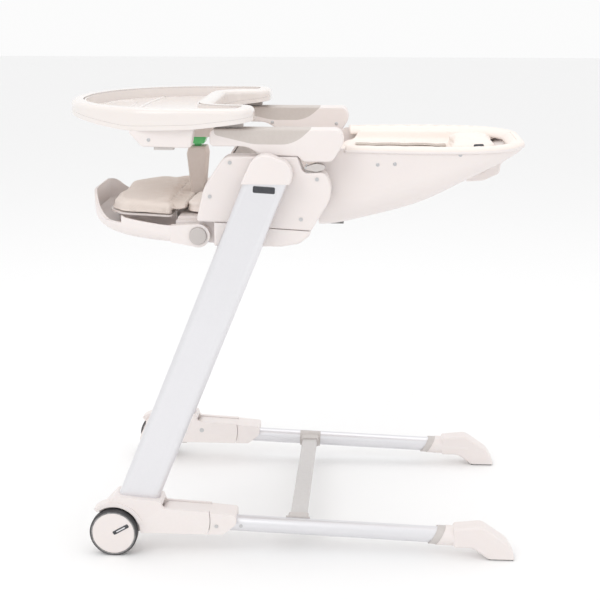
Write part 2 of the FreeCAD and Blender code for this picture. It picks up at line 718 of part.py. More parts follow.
def footrest_shell():
    body = scoop_hull(0).cut(scoop_hull(SCOOP_WALL))
    above = prism_x([(-100, 606, 0), (-224, 606, 0), (-272, 611, 40), (-303, 615, 20), (-328, 646, 14),
                     (-353, 656, 10), (-400, 640, 0), (-400, 700, 0), (-100, 700, 0)], -400, 400)
    arch = prism_y([(-400, 596, 0), (-150, 606, 0), (-92, 643, 90), (0, 655, 220), (92, 643, 90), (150, 606, 0),
                    (400, 596, 0), (400, 700, 0), (-400, 700, 0)], -400, -305)
    body = body.cut(above).cut(arch)
    arm = prism_x([(HINGE_Y, HINGE_Z + HUB_R, 0), (SCOOP_REAR, 606, 0), (SCOOP_REAR, 576, 0),
                   (HINGE_Y, HINGE_Z - HUB_R, 0)], ARM_IN, ARM_OUT)
    arm = arm.fuse(rod_x(HINGE_Y, HINGE_Z, HUB_R, ARM_IN, ARM_OUT))
    for side in both(arm):
        body = body.fuse(side)
    floor = SEAT_FLOOR + 4
    for rib in both(box((60, 64), (-330, -222), (floor + 3, BOARD_Z))):
        body = body.fuse(rib.common(scoop_hull(1.0)))
    for side in both(rod_x(HINGE_Y, HINGE_Z, HINGE_PIN_R + FIT, 0, ARM_OUT - 6.5)):
        body = body.cut(side)
    for side in both(rod_x(HINGE_Y, HINGE_Z, BUTTON_R + SLIDE, ARM_OUT - 6.5, 400)):
        body = body.cut(side)
    return body


def calf_plan(inset, low, high):
    i = inset
    return prism_z([(-165 + i, -214 - i, 8), (165 - i, -214 - i, 8), (142 - i, -312, 40), (100 - i, -342 + i, 40),
                    (-100 + i, -342 + i, 40), (-142 + i, -312, 40)], low, high)


def calf_board():
    return calf_plan(2, BOARD_Z + 0.1, BOARD_Z + BOARD_THICK)


def calf_pad():
    low = BOARD_Z + BOARD_THICK + 0.3
    return rounded(calf_plan(0, low, low + CALF_PAD_THICK), 6.0, at_z(low + CALF_PAD_THICK))


def footrest_button():
    body = rod_x(HINGE_Y, HINGE_Z, BUTTON_R, ARM_OUT - 2.5, ARM_OUT + 5)
    return rounded(body, 2.0, at_x(ARM_OUT + 5))


# ---- tray -----------------------------------------------------------------------------------
def tray_plan(inset):
    x = TRAY_HALF
    wire = outline([(-x, TRAY_REAR, 40), (-x, TRAY_FRONT, 232), (x, TRAY_FRONT, 232), (x, TRAY_REAR, 40),
                    (x - 96, TRAY_REAR, 28), (x - 104, TRAY_BELLY, 42), (-x + 104, TRAY_BELLY, 42),
                    (-x + 96, TRAY_REAR, 28)], lambda p: V(p.x, p.y, 700))
    face = Part.Face(wire)
    return face if inset == 0 else face.makeOffset2D(-inset)


def tray_block(inset, low, high):
    body = tray_plan(inset).extrude(V(0, 0, high - low))
    body.translate(V(0, 0, low - 700))
    return body


def tray_side(lift):
    """Everything above the tray's curved underside, raised by lift."""
    return prism_x([(-500, 794 + lift, 0), (-400, 788 + lift, 60), (-285, 775 + lift, 200),
                    (-160, 780 + lift, 200), (0, 800 + lift, 0), (0, 900, 0), (-500, 900, 0)], -400, 400)


def tray_outer():
    body = tray_block(0, 760, TRAY_TOP)
    body = rounded(body, 9.0, at_z(TRAY_TOP))
    return body.common(tray_side(0))


def tray_body():
    body = tray_outer().common(tray_side(BASE_BAND + 0.2))
    body = body.cut(tray_block(RIM_WIDTH, BASIN_Z, 900))
    hollow = tray_block(WALL, 700, BASIN_Z - WALL)
    ring = tray_block(WALL, 700, TRAY_TOP - 10).cut(tray_block(RIM_WIDTH - WALL, 600, 900))
    return body.cut(hollow).cut(ring)


def tray_base():
    body = tray_outer().cut(tray_side(BASE_BAND))
    body = body.cut(tray_block(WALL + 1, 700, 900).common(tray_side(WALL)))
    return body


def tray_bracket():
    """Latch housing under each side of the tray."""
    body = prism_x([(-277, 800, 0), (-277, 771, 6), (-256, 748, 10), (-170, 746, 6), (-161, 800, 0)], 200, 226)
    body = rounded(body, 3.0, lambda b: b.XLength < 0.01 and b.ZMax < 770)
    body = body.cut(tray_side(0))
    return body.cut(box((205, 221), (-236, -200), (700, 760)))


def tray_lever():
    return box((205.5, 220.5), (-235, -201), (742, 756))


def tray_runner():
    body = prism_x([(-160, 800, 0), (-160, ARM_TOP + 1.2, 2), (-82, ARM_TOP + 1.2, 2), (-82, 800, 0)], 184, 200)
    return body.cut(tray_side(0))


def catch_rail():
    body = prism_x([(-250, 800, 0), (-240, CATCH_HIGH + 1, 4), (-156, CATCH_HIGH + 1, 4), (-154, 800, 0)], -26, 26)
    return body.cut(tray_side(0))


def tray_insert():
    gap = RIM_WIDTH + 1.5
    low = BASIN_Z + 0.3
    body = tray_block(gap, low, TRAY_TOP - 2)
    body = body.cut(tray_block(gap + INSERT_WALL, low + INSERT_WALL, 900))
    return body


# ---- write every node -----------------------------------------------------------------------
PAIRS = {
    "leg": leg, "hinge_housing": hinge_housing, "fold_button": fold_button, "wheel_hub": wheel_hub,
    "tyre": tyre, "seat_side_cover": seat_side_cover, "height_lever": height_lever,
    "footrest_button": footrest_button, "tray_lever": tray_lever,
}
GROUPS = {
    "leg_caps": leg_cap, "fold_pins": fold_pin, "wheel_axles": wheel_axle, "tube_sockets": tube_socket,
    "base_tubes": base_tube, "rear_feet": rear_foot, "foot_pads": foot_pad, "tube_collars": tube_collar,
    "crossbar_clamps": bar_clamp, "seat_frames": seat_frame, "carriage_sliders": carriage_slider,
    "armrests": armrest, "armrest_inlays": armrest_inlay, "waist_straps": waist_strap,
    "shoulder_straps": shoulder_strap, "tray_brackets": tray_bracket, "tray_runners": tray_runner,
}
SINGLES = {
    "crossbar": crossbar, "seat_base": seat_base, "seat_deck": seat_deck, "seat_cushion": seat_cushion,
    "crotch_post": crotch_post, "post_catch": post_catch, "harness_buckle": buckle,
    "backrest_shell": backrest_shell, "back_panel": back_panel, "back_pad": back_pad,
    "headrest": headrest, "recline_handle": recline_handle, "handle_pin": handle_pin,
    "shell_bumper": shell_bumper, "footrest_shell": footrest_shell, "calf_board": calf_board,
    "calf_pad": calf_pad, "tray_body": tray_body, "tray_base": tray_base, "tray_insert": tray_insert,
    "catch_rail": catch_rail, "seat_pins": seat_pins, "base_screws": base_screws,
    "cover_screws": cover_screws,
}

if __name__ == "__main__":
    os.makedirs("parts", exist_ok=True)
    for name, make in PAIRS.items():
        save_pair(name, make())
    for name, make in GROUPS.items():
        save(name, both(make()))
    for name, make in SINGLES.items():
        save(name, make())
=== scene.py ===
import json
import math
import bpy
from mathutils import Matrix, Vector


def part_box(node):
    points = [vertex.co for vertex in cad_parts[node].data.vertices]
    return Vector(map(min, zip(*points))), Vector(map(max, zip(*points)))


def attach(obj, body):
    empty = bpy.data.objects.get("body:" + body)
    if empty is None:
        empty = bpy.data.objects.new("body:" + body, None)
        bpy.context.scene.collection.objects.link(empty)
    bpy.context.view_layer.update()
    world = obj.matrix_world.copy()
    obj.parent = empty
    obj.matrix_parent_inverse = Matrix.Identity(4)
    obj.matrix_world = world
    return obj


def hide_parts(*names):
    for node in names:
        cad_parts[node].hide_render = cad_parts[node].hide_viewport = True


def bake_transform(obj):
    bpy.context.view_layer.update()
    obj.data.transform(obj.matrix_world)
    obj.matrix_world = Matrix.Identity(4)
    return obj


bl_info = {
    "name": "Baby High Chair",
    "version": (1, 0, 0),
    "blender": (4, 5, 0),
    "location": "View3D > Sidebar > High Chair",
    "description": "Upholstery, trims and finishes of a folding baby high chair",
    "category": "Object",
}

import bmesh
import bpy
from mathutils import Vector
from mathutils.bvhtree import BVHTree

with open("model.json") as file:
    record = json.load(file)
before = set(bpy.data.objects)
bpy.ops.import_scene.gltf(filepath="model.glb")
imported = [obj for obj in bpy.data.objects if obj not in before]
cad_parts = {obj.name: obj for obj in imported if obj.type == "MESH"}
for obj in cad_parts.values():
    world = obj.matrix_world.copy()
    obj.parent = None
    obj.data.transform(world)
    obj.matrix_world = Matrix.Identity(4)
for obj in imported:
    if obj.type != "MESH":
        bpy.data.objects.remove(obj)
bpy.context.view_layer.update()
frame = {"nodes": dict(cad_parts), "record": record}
NODES = frame["nodes"]

# Sizes and places shared by several pieces, in metres and radians
LEG_RAKE = math.radians(22.1)
PAD_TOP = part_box("back_pad")[1][2]
RIM_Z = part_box("backrest_shell")[1][2]
TRAY_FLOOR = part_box("tray_insert")[0][2] + 0.003
RIM_START = 0.094           # where the rim's roll begins, in front of the hinge
RIM_POINTS = 110            # along each half of the rim
PIPING_Z = -0.0042          # below the rim
BACK_SEAM_X = 0.106         # seam between the back's middle and its bolsters
SEAT_SEAM_X = 0.112
SEAT_SEAMS_Y = (-0.045, -0.110)
SEAM_WIDTH = 0.003
STRAP_INNER = 0.028         # from the middle to a shoulder strap's inner edge
BUCKLE_EDGE = 0.0205        # from the middle to where the waist webbing starts
WEBBING_THICK = 0.0018
WEBBING_LIFT = 0.0012
PUFF_PRESSURE = 4.0
PUFF_FRAMES = 20

CAMERA_PLACE = (2.4336, 0.1507, 1.0419)
CAMERA_AIM = (-0.967, -0.0576, -0.2467)
# name, place, what it points at, size, power
LAMPS = (("Key", (2.2, -1.4, 2.6), (0, 0, 0.5), 1.8, 17.0),
         ("Fill", (1.8, 2.2, 1.6), (0, 0, 0.5), 2.0, 5.0),
         ("Top", (-0.6, 0.0, 3.0), (0, 0, 0.4), 2.4, 12.0))
# across the webbing from -1 to 1, and the share of its thickness there: thick selvedges, domed middle
WEBBING_SECTION = ((-1, 0.1), (-0.97, 0.85), (-0.85, 1.0), (-0.7, 0.72), (0, 0.8), (0.7, 0.72),
                   (0.85, 1.0), (0.97, 0.85), (1, 0.1), (0.97, 0.0), (0, 0.0), (-0.97, 0.0))
# (y, z) of the tongue between the seat pad and the back liner
TONGUE_ROUTE = ((0.004, 0.629), (0.017, 0.6325), (0.027, 0.641), (0.037, 0.653), (0.047, 0.667),
                (0.0575, 0.681), (0.068, 0.690))


# ---- properties ----
def colour(label, what, value):
    return bpy.props.FloatVectorProperty(
        name=label, description=what, subtype="COLOR", size=3, min=0.0, max=1.0, default=value)


def length(label, what, value, low=0.0, high=0.1):
    return bpy.props.FloatProperty(
        name=label, description=what, subtype="DISTANCE", unit="LENGTH", default=value, min=low, max=high,
        precision=4)


class ShellSettings(bpy.types.PropertyGroup):
    shell: colour("Shell", "Moulded shells, armrests and housings", (0.815, 0.755, 0.735))
    gloss: colour("Tray", "Glossy plastic of the tray and its insert", (0.80, 0.745, 0.715))
    grey: colour("Small parts", "Levers, collars and buttons", (0.55, 0.51, 0.49))
    inlay: colour("Armrest inlay", "Soft grips on the armrests", (0.565, 0.51, 0.475))
    post: colour("Crotch post", "Post and rail that the tray clips on", (0.72, 0.63, 0.58))
    catch: colour("Catch", "Release catch under the tray", (0.06, 0.56, 0.13))
    badge: colour("Badge", "Plates on the legs and wheels", (0.012, 0.014, 0.022))


class MetalSettings(bpy.types.PropertyGroup):
    leg: colour("Legs", "Satin anodised legs and base tubes", (0.77, 0.765, 0.79))
    steel: colour("Steel", "Plated pins and screws", (0.56, 0.56, 0.57))
    bar: colour("Crossbar", "Paint of the flat crossbar", (0.57, 0.545, 0.535))
    screw_radius: length("Screw radius", "Radius of the small domed screws", 0.0034, 0.001, 0.01)


class SoftSettings(bpy.types.PropertyGroup):
    cream: colour("Cream cover", "Coated fabric of the seat and back", (0.92, 0.835, 0.78))
    woven: colour("Leg rest cover", "Woven fabric of the leg rest", (0.87, 0.775, 0.71))
    webbing: colour("Harness", "Webbing of the harness", (0.62, 0.54, 0.48))
    voxel: length("Remesh size", "Voxel size of the padded pieces", 0.0045, 0.002, 0.02)
    seam: length("Seam depth", "Depth of the sewn channels", 0.0032, 0.0, 0.01)
    piping: length("Piping radius", "Radius of the trim round the backrest", 0.0031, 0.001, 0.01)
    stitch: length("Stitch pitch", "Distance between stitches", 0.0042, 0.002, 0.02)


class StageSettings(bpy.types.PropertyGroup):
    floor: colour("Floor", "Pale studio floor", (0.93, 0.93, 0.93))
    lens: bpy.props.FloatProperty(
        name="Lens", description="Focal length of the camera", subtype="DISTANCE_CAMERA", default=77.4)


# ---- node groups ----
def new_group(name, inputs, outputs):
    """A shader group with its sockets, and its input and output nodes."""
    tree = bpy.data.node_groups.new(name, "ShaderNodeTree")
    for label, kind, value in inputs:
        socket = tree.interface.new_socket(label, in_out="INPUT", socket_type=kind)
        socket.default_value = value
    for label, kind in outputs:
        tree.interface.new_socket(label, in_out="OUTPUT", socket_type=kind)
    return tree, tree.nodes.new("NodeGroupInput"), tree.nodes.new("NodeGroupOutput")


def put(tree, kind, links=(), **values):
    """Adds a node; links are (its input, a socket), values set its properties or inputs."""
    node = tree.nodes.new(kind)
    for key, value in values.items():
        label = key.replace("_", " ").title()
        if hasattr(node, key):
            setattr(node, key, value)
        else:
            node.inputs[label].default_value = value
    for index, source in links:
        tree.links.new(source, node.inputs[index])
    return node


FLOAT, COLOR, VECTOR = "NodeSocketFloat", "NodeSocketColor", "NodeSocketVector"


def object_place(tree):
    return put(tree, "ShaderNodeTexCoord").outputs["Object"]


def product(tree, first, second):
    return put(tree, "ShaderNodeMath", [(0, first), (1, second)], operation="MULTIPLY").outputs[0]


def surface_height_group():
    """Fine grain with a long soft waviness, as a moulding tool leaves."""
    tree, ins, outs = new_group(
        "Moulded grain", [("Scale", FLOAT, 900.0), ("Wave", FLOAT, 0.3)],
        [("Height", FLOAT), ("Mask", FLOAT)])
    place = object_place(tree)
    grain = put(tree, "ShaderNodeTexNoise", [("Vector", place), ("Scale", ins.outputs["Scale"])],
                detail=3.0, roughness=0.6)
    wave = put(tree, "ShaderNodeTexNoise", [("Vector", place)], scale=14.0, detail=2.0)
    mixed = put(tree, "ShaderNodeMath",
                [(0, wave.outputs[0]), (1, ins.outputs["Wave"]), (2, grain.outputs[0])],
                operation="MULTIPLY_ADD")
    tree.links.new(mixed.outputs[0], outs.inputs["Height"])
    tree.links.new(wave.outputs[0], outs.inputs["Mask"])
    return tree


def wear_group():
    """Colour with faint mottling, lighter where edges are rubbed."""
    tree, ins, outs = new_group(
        "Handled colour", [("Color", COLOR, (1, 1, 1, 1)), ("Mottle", FLOAT, 0.04), ("Wear", FLOAT, 0.25)],
        [("Color", COLOR), ("Rough", FLOAT)])
    place = object_place(tree)
    patch = put(tree, "ShaderNodeTexNoise", [("Vector", place)], scale=9.0, detail=5.0)
    fine = put(tree, "ShaderNodeTexNoise", [("Vector", place)], scale=160.0, detail=4.0)
    geometry = put(tree, "ShaderNodeNewGeometry")
    edge = put(tree, "ShaderNodeMapRange", [("Value", geometry.outputs["Pointiness"])],
               from_min=0.51, from_max=0.60)
    rubbed = product(tree, product(tree, edge.outputs[0], fine.outputs[0]), ins.outputs["Wear"])
    dark = put(tree, "ShaderNodeMath", [(1, product(tree, patch.outputs[0], ins.outputs["Mottle"]))],
               operation="SUBTRACT")
    dark.inputs[0].default_value = 1.02
    shaded = put(tree, "ShaderNodeVectorMath", [(0, ins.outputs["Color"]), ("Scale", dark.outputs[0])],
                 operation="SCALE")
    light = put(tree, "ShaderNodeMix", [("Factor", rubbed)], data_type="RGBA")
    tree.links.new(shaded.outputs[0], light.inputs[6])
    light.inputs[7].default_value = (0.95, 0.94, 0.92, 1)
    tree.links.new(light.outputs[2], outs.inputs["Color"])
    tree.links.new(fine.outputs[0], outs.inputs["Rough"])
    return tree


def weave_group():
    """Crossing yarns on the object's own coordinates."""
    tree, ins, outs = new_group(
        "Woven yarn", [("Pitch", FLOAT, 900.0), ("Fuzz", FLOAT, 0.4)], [("Height", FLOAT), ("Mask", FLOAT)])
    place = object_place(tree)
    warp = put(tree, "ShaderNodeTexNoise", [("Vector", place)], scale=22.0, detail=2.0)
    drift = put(tree, "ShaderNodeVectorMath", [(0, warp.outputs[1])], operation="SCALE", scale=0.0016)
    moved = put(tree, "ShaderNodeVectorMath", [(0, place), (1, drift.outputs[0])], operation="ADD")
    yarns = []
    for axis in ("X", "Y"):
        wave = put(tree, "ShaderNodeTexWave", [("Vector", moved.outputs[0]), ("Scale", ins.outputs["Pitch"])],
                   bands_direction=axis)
        yarns.append(wave.outputs["Fac"])
    cross = put(tree, "ShaderNodeMath", [(0, yarns[0]), (1, yarns[1])], operation="MAXIMUM")
    fuzz = put(tree, "ShaderNodeTexNoise", [("Vector", place)], scale=1600.0, detail=2.0)
    total = put(tree, "ShaderNodeMath",
                [(0, fuzz.outputs[0]), (1, ins.outputs["Fuzz"]), (2, cross.outputs[0])],
                operation="MULTIPLY_ADD")
    tree.links.new(total.outputs[0], outs.inputs["Height"])
    tree.links.new(cross.outputs[0], outs.inputs["Mask"])
    return tree


GROUPS = {}


def groups():
    if not GROUPS:
        GROUPS.update(grain=surface_height_group(), wear=wear_group(), weave=weave_group())
    return GROUPS


def use_group(tree, name, **values):
    node = tree.nodes.new("ShaderNodeGroup")
    node.node_tree = groups()[name]
    for key, value in values.items():
        node.inputs[key.title()].default_value = value
    return node


def start_material(name):
    mat = bpy.data.materials.new(name)
    mat.use_nodes = True
    tree = mat.node_tree
    return mat, tree, tree.nodes["Principled BSDF"]


def rough_range(tree, source, low, high, shader):
    spread = put(tree, "ShaderNodeMapRange", [("Value", source)], to_min=low, to_max=high)
    tree.links.new(spread.outputs[0], shader.inputs["Roughness"])


def bump(tree, height, strength, distance, shader):
    node = put(tree, "ShaderNodeBump", [("Height", height)], strength=strength, distance=distance)
    tree.links.new(node.outputs[0], shader.inputs["Normal"])


def rgba(value):
    return (value[0], value[1], value[2], 1.0)


def tinted(tree, shader, value, mottle, wear):
    """Gives the shader a handled colour, and returns that colour's roughness pattern."""
    tint = use_group(tree, "wear", color=rgba(value), mottle=mottle, wear=wear)
    tree.links.new(tint.outputs["Color"], shader.inputs["Base Color"])
    return tint.outputs["Rough"]


def plastic(name, value, rough, grain=1100.0, strength=0.12, coat=0.0, wear=0.2, subsurface=0.0):
    mat, tree, shader = start_material(name)
    rough_range(tree, tinted(tree, shader, value, 0.035, wear), rough - 0.05, rough + 0.07, shader)
    skin = use_group(tree, "grain", scale=grain, wave=0.5)
    bump(tree, skin.outputs["Height"], strength, 0.0004, shader)
    shader.inputs["IOR"].default_value = 1.47
    shader.inputs["Coat Weight"].default_value = coat
    shader.inputs["Coat Roughness"].default_value = 0.12
    shader.inputs["Subsurface Weight"].default_value = subsurface
    shader.inputs["Subsurface Radius"].default_value = (0.004, 0.003, 0.002)
    return mat


def anodised(name, value, rough):
    """Satin metal with faint draw lines along the extrusion."""
    mat, tree, shader = start_material(name)
    turn = put(tree, "ShaderNodeMapping", [("Vector", object_place(tree))],
               rotation=(LEG_RAKE, 0, 0), scale=(420.0, 420.0, 3.0))
    lines = put(tree, "ShaderNodeTexNoise", [("Vector", turn.outputs[0])], scale=1.0, detail=4.0)
    tinted(tree, shader, value, 0.03, 0.15)
    rough_range(tree, lines.outputs[0], rough - 0.06, rough + 0.08, shader)
    bump(tree, lines.outputs[0], 0.10, 0.0003, shader)
    shader.inputs["Metallic"].default_value = 0.85
    return mat


def plated(name, value):
    mat, tree, shader = start_material(name)
    rough_range(tree, tinted(tree, shader, value, 0.10, 0.3), 0.22, 0.42, shader)
    skin = use_group(tree, "grain", scale=1500.0, wave=0.2)
    bump(tree, skin.outputs["Height"], 0.10, 0.0002, shader)
    shader.inputs["Metallic"].default_value = 1.0
    return mat


def cloth(name, value, pitch, strength, rough, sheen):
    mat, tree, shader = start_material(name)
    yarn = use_group(tree, "weave", pitch=pitch, fuzz=0.5)
    tint = use_group(tree, "wear", color=rgba(value), mottle=0.07, wear=0.10)
    # painted shade: the colour is darkened to 90 % between the yarns, where the yarn mask is low and shade
    # falls into the weave
    yarn_gap_shade = put(tree, "ShaderNodeMix", [("Factor", yarn.outputs["Mask"])], data_type="RGBA")
    shade = put(tree, "ShaderNodeVectorMath", [(0, tint.outputs["Color"])], operation="SCALE", scale=0.90)
    tree.links.new(shade.outputs[0], yarn_gap_shade.inputs[6])
    tree.links.new(tint.outputs["Color"], yarn_gap_shade.inputs[7])
    tree.links.new(yarn_gap_shade.outputs[2], shader.inputs["Base Color"])
    rough_range(tree, tint.outputs["Rough"], rough - 0.08, rough + 0.08, shader)
    bump(tree, yarn.outputs["Height"], strength, 0.0005, shader)
    shader.inputs["Sheen Weight"].default_value = sheen
    shader.inputs["Sheen Roughness"].default_value = 0.45
    shader.inputs["IOR"].default_value = 1.45
    return mat


def pebbled(name, value):
    """Coated fabric with a fine pebble grain and soft creases."""
    mat, tree, shader = start_material(name)
    place = object_place(tree)
    cells = put(tree, "ShaderNodeTexVoronoi", [("Vector", place)], scale=620.0)
    folds = put(tree, "ShaderNodeTexNoise", [("Vector", place)], scale=42.0, detail=4.0, distortion=0.8)
    both = put(tree, "ShaderNodeMath", [(0, folds.outputs[0]), (2, cells.outputs["Distance"])],
               operation="MULTIPLY_ADD")
    both.inputs[1].default_value = 2.2
    tinted(tree, shader, value, 0.06, 0.15)
    rough_range(tree, folds.outputs[0], 0.48, 0.62, shader)
    bump(tree, both.outputs[0], 0.22, 0.0009, shader)
    shader.inputs["Sheen Weight"].default_value = 0.12
    shader.inputs["IOR"].default_value = 1.46
    return mat


FINISHES = {}


def finishes(scene):
    """Every finish of the chair, made once."""
    if FINISHES:
        return FINISHES
    shell, metal, soft = scene.chair_shell, scene.chair_metal, scene.chair_soft
    FINISHES.update(
        white_plastic=plastic("Warm white plastic", shell.shell, 0.42, coat=0.12, subsurface=0.04),
        gloss_white=plastic("Gloss tray plastic", shell.gloss, 0.20, strength=0.04, coat=0.5, wear=0.1,
                            subsurface=0.04),
        grey_plastic=plastic("Grey moulded plastic", shell.grey, 0.45),
        soft_grey=plastic("Soft grip inlay", shell.inlay, 0.66, grain=1700.0, strength=0.25),
        beige_plastic=plastic("Beige moulded plastic", shell.post, 0.42, coat=0.1),
        green_plastic=plastic("Green catch plastic", shell.catch, 0.30, coat=0.4, wear=0.1),
        painted_bar=plastic("Crossbar paint", metal.bar, 0.38, strength=0.06, coat=0.3),
        tyre=plastic("Tyre rubber", (0.045, 0.043, 0.046), 0.62, grain=1500.0, strength=0.3, wear=0.6),
        rubber=plastic("Sole rubber", (0.035, 0.033, 0.034), 0.72, grain=1300.0, strength=0.3, wear=0.5),
        badge=plastic("Badge enamel", shell.badge, 0.22, strength=0.03, coat=0.6, wear=0.1),
        badge_edge=plastic("Badge border", (0.70, 0.70, 0.72), 0.30, strength=0.03, coat=0.3),
        aluminium=anodised("Satin anodised aluminium", metal.leg, 0.36),
        steel=plated("Plated steel", metal.steel),
        cream_fabric=pebbled("Cream coated fabric", soft.cream),
        beige_fabric=cloth("Woven leg rest fabric", soft.woven, 330.0, 0.35, 0.80, 0.25),
        webbing=cloth("Harness webbing", soft.webbing, 520.0, 0.5, 0.75, 0.15),
        thread=cloth("Sewing thread", (0.78, 0.70, 0.62), 1400.0, 0.3, 0.6, 0.1),
    )
    return FINISHES


# ---- mesh helpers ----
def added(name, data):
    """A new object in the scene."""
    obj = bpy.data.objects.new(name, data)
    bpy.context.scene.collection.objects.link(obj)
    return obj


def to_object(name, bm, mat, smooth=True, clean=True):
    """Makes an object of a bmesh, with outward normals."""
    if clean:
        bmesh.ops.remove_doubles(bm, verts=bm.verts, dist=1e-6)
        bmesh.ops.recalc_face_normals(bm, faces=bm.faces)
    mesh = bpy.data.meshes.new(name)
    bm.to_mesh(mesh)
    bm.free()
    for face in mesh.polygons:
        face.use_smooth = smooth
    mesh.materials.append(mat)
    return added(name, mesh)


def evaluated_mesh(obj):
    """A new mesh of the object as its modifiers leave it."""
    bpy.context.view_layer.update()
    graph = bpy.context.evaluated_depsgraph_get()
    mesh = bpy.data.meshes.new_from_object(obj.evaluated_get(graph), depsgraph=graph)
    mesh.name = obj.name
    return mesh


def baked(obj):
    """Replaces the object's mesh by its evaluated one and drops its modifiers."""
    mesh = evaluated_mesh(obj)
    obj.modifiers.clear()
    obj.data = mesh


def smoothed(obj, levels=1):
    mod = obj.modifiers.new("Smooth", "SUBSURF")
    mod.levels = levels
    mod.render_levels = levels
    baked(obj)


def loft(bm, rings, closed=True):
    """Skins closed rings; their ends get one face, quads if closed is "strips", or none if false."""
    rows = [[bm.verts.new(p) for p in ring] for ring in rings]
    count = len(rows[0])
    for low, high in zip(rows, rows[1:]):
        for i in range(count):
            j = (i + 1) % count
            bm.faces.new((low[i], low[j], high[j], high[i]))
    if closed == "strips":
        for row in (rows[0], rows[-1]):
            for i in range(count // 2 - 1):
                bm.faces.new((row[i], row[i + 1], row[-2 - i], row[-1 - i]))
    elif closed:
        bm.faces.new(rows[0])
        bm.faces.new(rows[-1])


def tube_along(bm, points, radius, sides=10, loop=False, flat=1.0):
    """A tube round a polyline; flat squeezes it along Z."""
    rings = []
    count = len(points)
    for i, here in enumerate(points):
        before = points[i - 1] if i or loop else points[i]
        after = points[(i + 1) % count] if i < count - 1 or loop else points[i]
        along = (after - before).normalized()
        side = along.cross(Vector((0, 0, 1)))
        side = side.normalized() if side.length > 1e-4 else Vector((1, 0, 0))
        up = side.cross(along).normalized()
        ring = []
        for k in range(sides):
            turn = 2 * math.pi * k / sides
            ring.append(here + side * math.cos(turn) * radius + up * math.sin(turn) * radius * flat)
        rings.append(ring)
    if loop:
        rings.append(rings[0])
    loft(bm, rings, closed=not loop)


def rounded_plate(bm, centre, along, across, size, thick, corner, steps=6):
    """A plate with round corners, standing off its centre along their cross product."""
    out = along.cross(across).normalized()
    rings = []
    for lift, inset in ((0.0, 0.0), (thick * 0.6, 0.0), (thick, thick * 0.5)):
        ring = []
        half_a, half_b = size[0] / 2 - inset, size[1] / 2 - inset
        r = max(corner - inset, 1e-4)
        for sa, sb, first in ((1, 1, 0.0), (-1, 1, 0.5), (-1, -1, 1.0), (1, -1, 1.5)):
            for k in range(steps + 1):
                turn = math.pi * (first + 0.5 * k / steps)
                a = sa * (half_a - r) + r * math.cos(turn)
                b = sb * (half_b - r) + r * math.sin(turn)
                ring.append(centre + along * a + across * b + out * lift)
        rings.append(ring)
    loft(bm, rings)


def tree_of(obj):
    """Ray-casting tree of an object's mesh."""
    bm = bmesh.new()
    bm.from_mesh(obj.data)
    result = BVHTree.FromBMesh(bm)
    bm.free()
    return result


def drop(tree, x, y, start):
    """Height of the first surface below (x, y, start), or None."""
    hit = tree.ray_cast(Vector((x, y, start)), Vector((0, 0, -1)))
    return hit[0].z if hit[0] else None


def settle(piece, body, slot, *nodes):
    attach(piece, body)
    if nodes:
        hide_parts(*nodes)


# ---- padded pieces ----
def copy_of(node, name, mat, inset):
    """A merged copy of a CAD node, drawn in by inset along its normals."""
    bm = bmesh.new()
    bm.from_mesh(NODES[node].data)
    bmesh.ops.remove_doubles(bm, verts=bm.verts, dist=1e-5)
    bmesh.ops.recalc_face_normals(bm, faces=bm.faces)
    obj = to_object(name, bm, mat, clean=False)
    remesh = obj.modifiers.new("Voxels", "REMESH")
    remesh.mode = "VOXEL"
    remesh.voxel_size = bpy.context.scene.chair_soft.voxel
    baked(obj)
    carve(obj, lambda point, normal: inset)
    return obj


def inflated(obj, cap, hold):
    """Puffs a closed piece as cloth under pressure; no point moves more than cap * hold(its start)."""
    start = [v.co.copy() for v in obj.data.vertices]
    scene = bpy.context.scene
    mod = obj.modifiers.new("Cloth", "CLOTH")
    setup = mod.settings
    setup.quality = 5
    setup.mass = 0.3
    setup.tension_stiffness = 12
    setup.compression_stiffness = 12
    setup.shear_stiffness = 5
    setup.bending_stiffness = 0.5
    setup.use_pressure = True
    setup.uniform_pressure_force = PUFF_PRESSURE
    setup.effector_weights.gravity = 0.0
    mod.point_cache.frame_start = 1
    mod.point_cache.frame_end = PUFF_FRAMES
    for step in range(1, PUFF_FRAMES + 1):
        scene.frame_set(step)
    baked(obj)
    scene.frame_set(1)
    for vertex, was in zip(obj.data.vertices, start):
        move = vertex.co - was
        free = cap * hold(was)
        if move.length > free:
            vertex.co = was + move * (free / max(move.length, 1e-9))


def relaxed(obj, rounds, factor=0.5):
    mod = obj.modifiers.new("Relax", "SMOOTH")
    mod.iterations = rounds
    mod.factor = factor
    baked(obj)


def carve(obj, depth_at):
    """Moves every point inward along its normal by depth_at(point, normal)."""
    normals = [v.normal.copy() for v in obj.data.vertices]
    for vertex, normal in zip(obj.data.vertices, normals):
        vertex.co -= normal * depth_at(vertex.co, normal)


def groove(distance, depth, width):
    """Depth of a sewn channel at a distance from its seam line."""
    return depth * math.exp(-(distance / width) ** 2)


def ripple(point, seed, scale):
    """Repeatable soft creasing between -1 and 1."""
    x, y, z = point.x * scale + seed, point.y * scale - seed, point.z * scale
    return (math.sin(x * 1.7 + math.sin(y * 2.3)) + math.sin(y * 3.1 + math.sin(x * 1.3 + z))
            + 0.6 * math.sin((x + y) * 4.3 + z * 2.0)) / 2.6


def inside_box(obj, low, high):
    """Keeps a padded piece's points within the space that its CAD solid leaves free."""
    for vertex in obj.data.vertices:
        vertex.co.x = min(max(vertex.co.x, low[0]), high[0])
        vertex.co.y = min(max(vertex.co.y, low[1]), high[1])
        vertex.co.z = min(max(vertex.co.z, low[2]), high[2])


def clear_of(obj, walls, gap):
    """Pulls points that pass a wall, seen from the middle, back to gap inside it."""
    for vertex in obj.data.vertices:
        side = 1.0 if vertex.co.x > 0 else -1.0
        hit = walls.ray_cast(Vector((0, vertex.co.y, vertex.co.z)), Vector((side, 0, 0)))
        if hit[0] and abs(vertex.co.x) > abs(hit[0].x) - gap:
            vertex.co.x = side * (abs(hit[0].x) - gap)


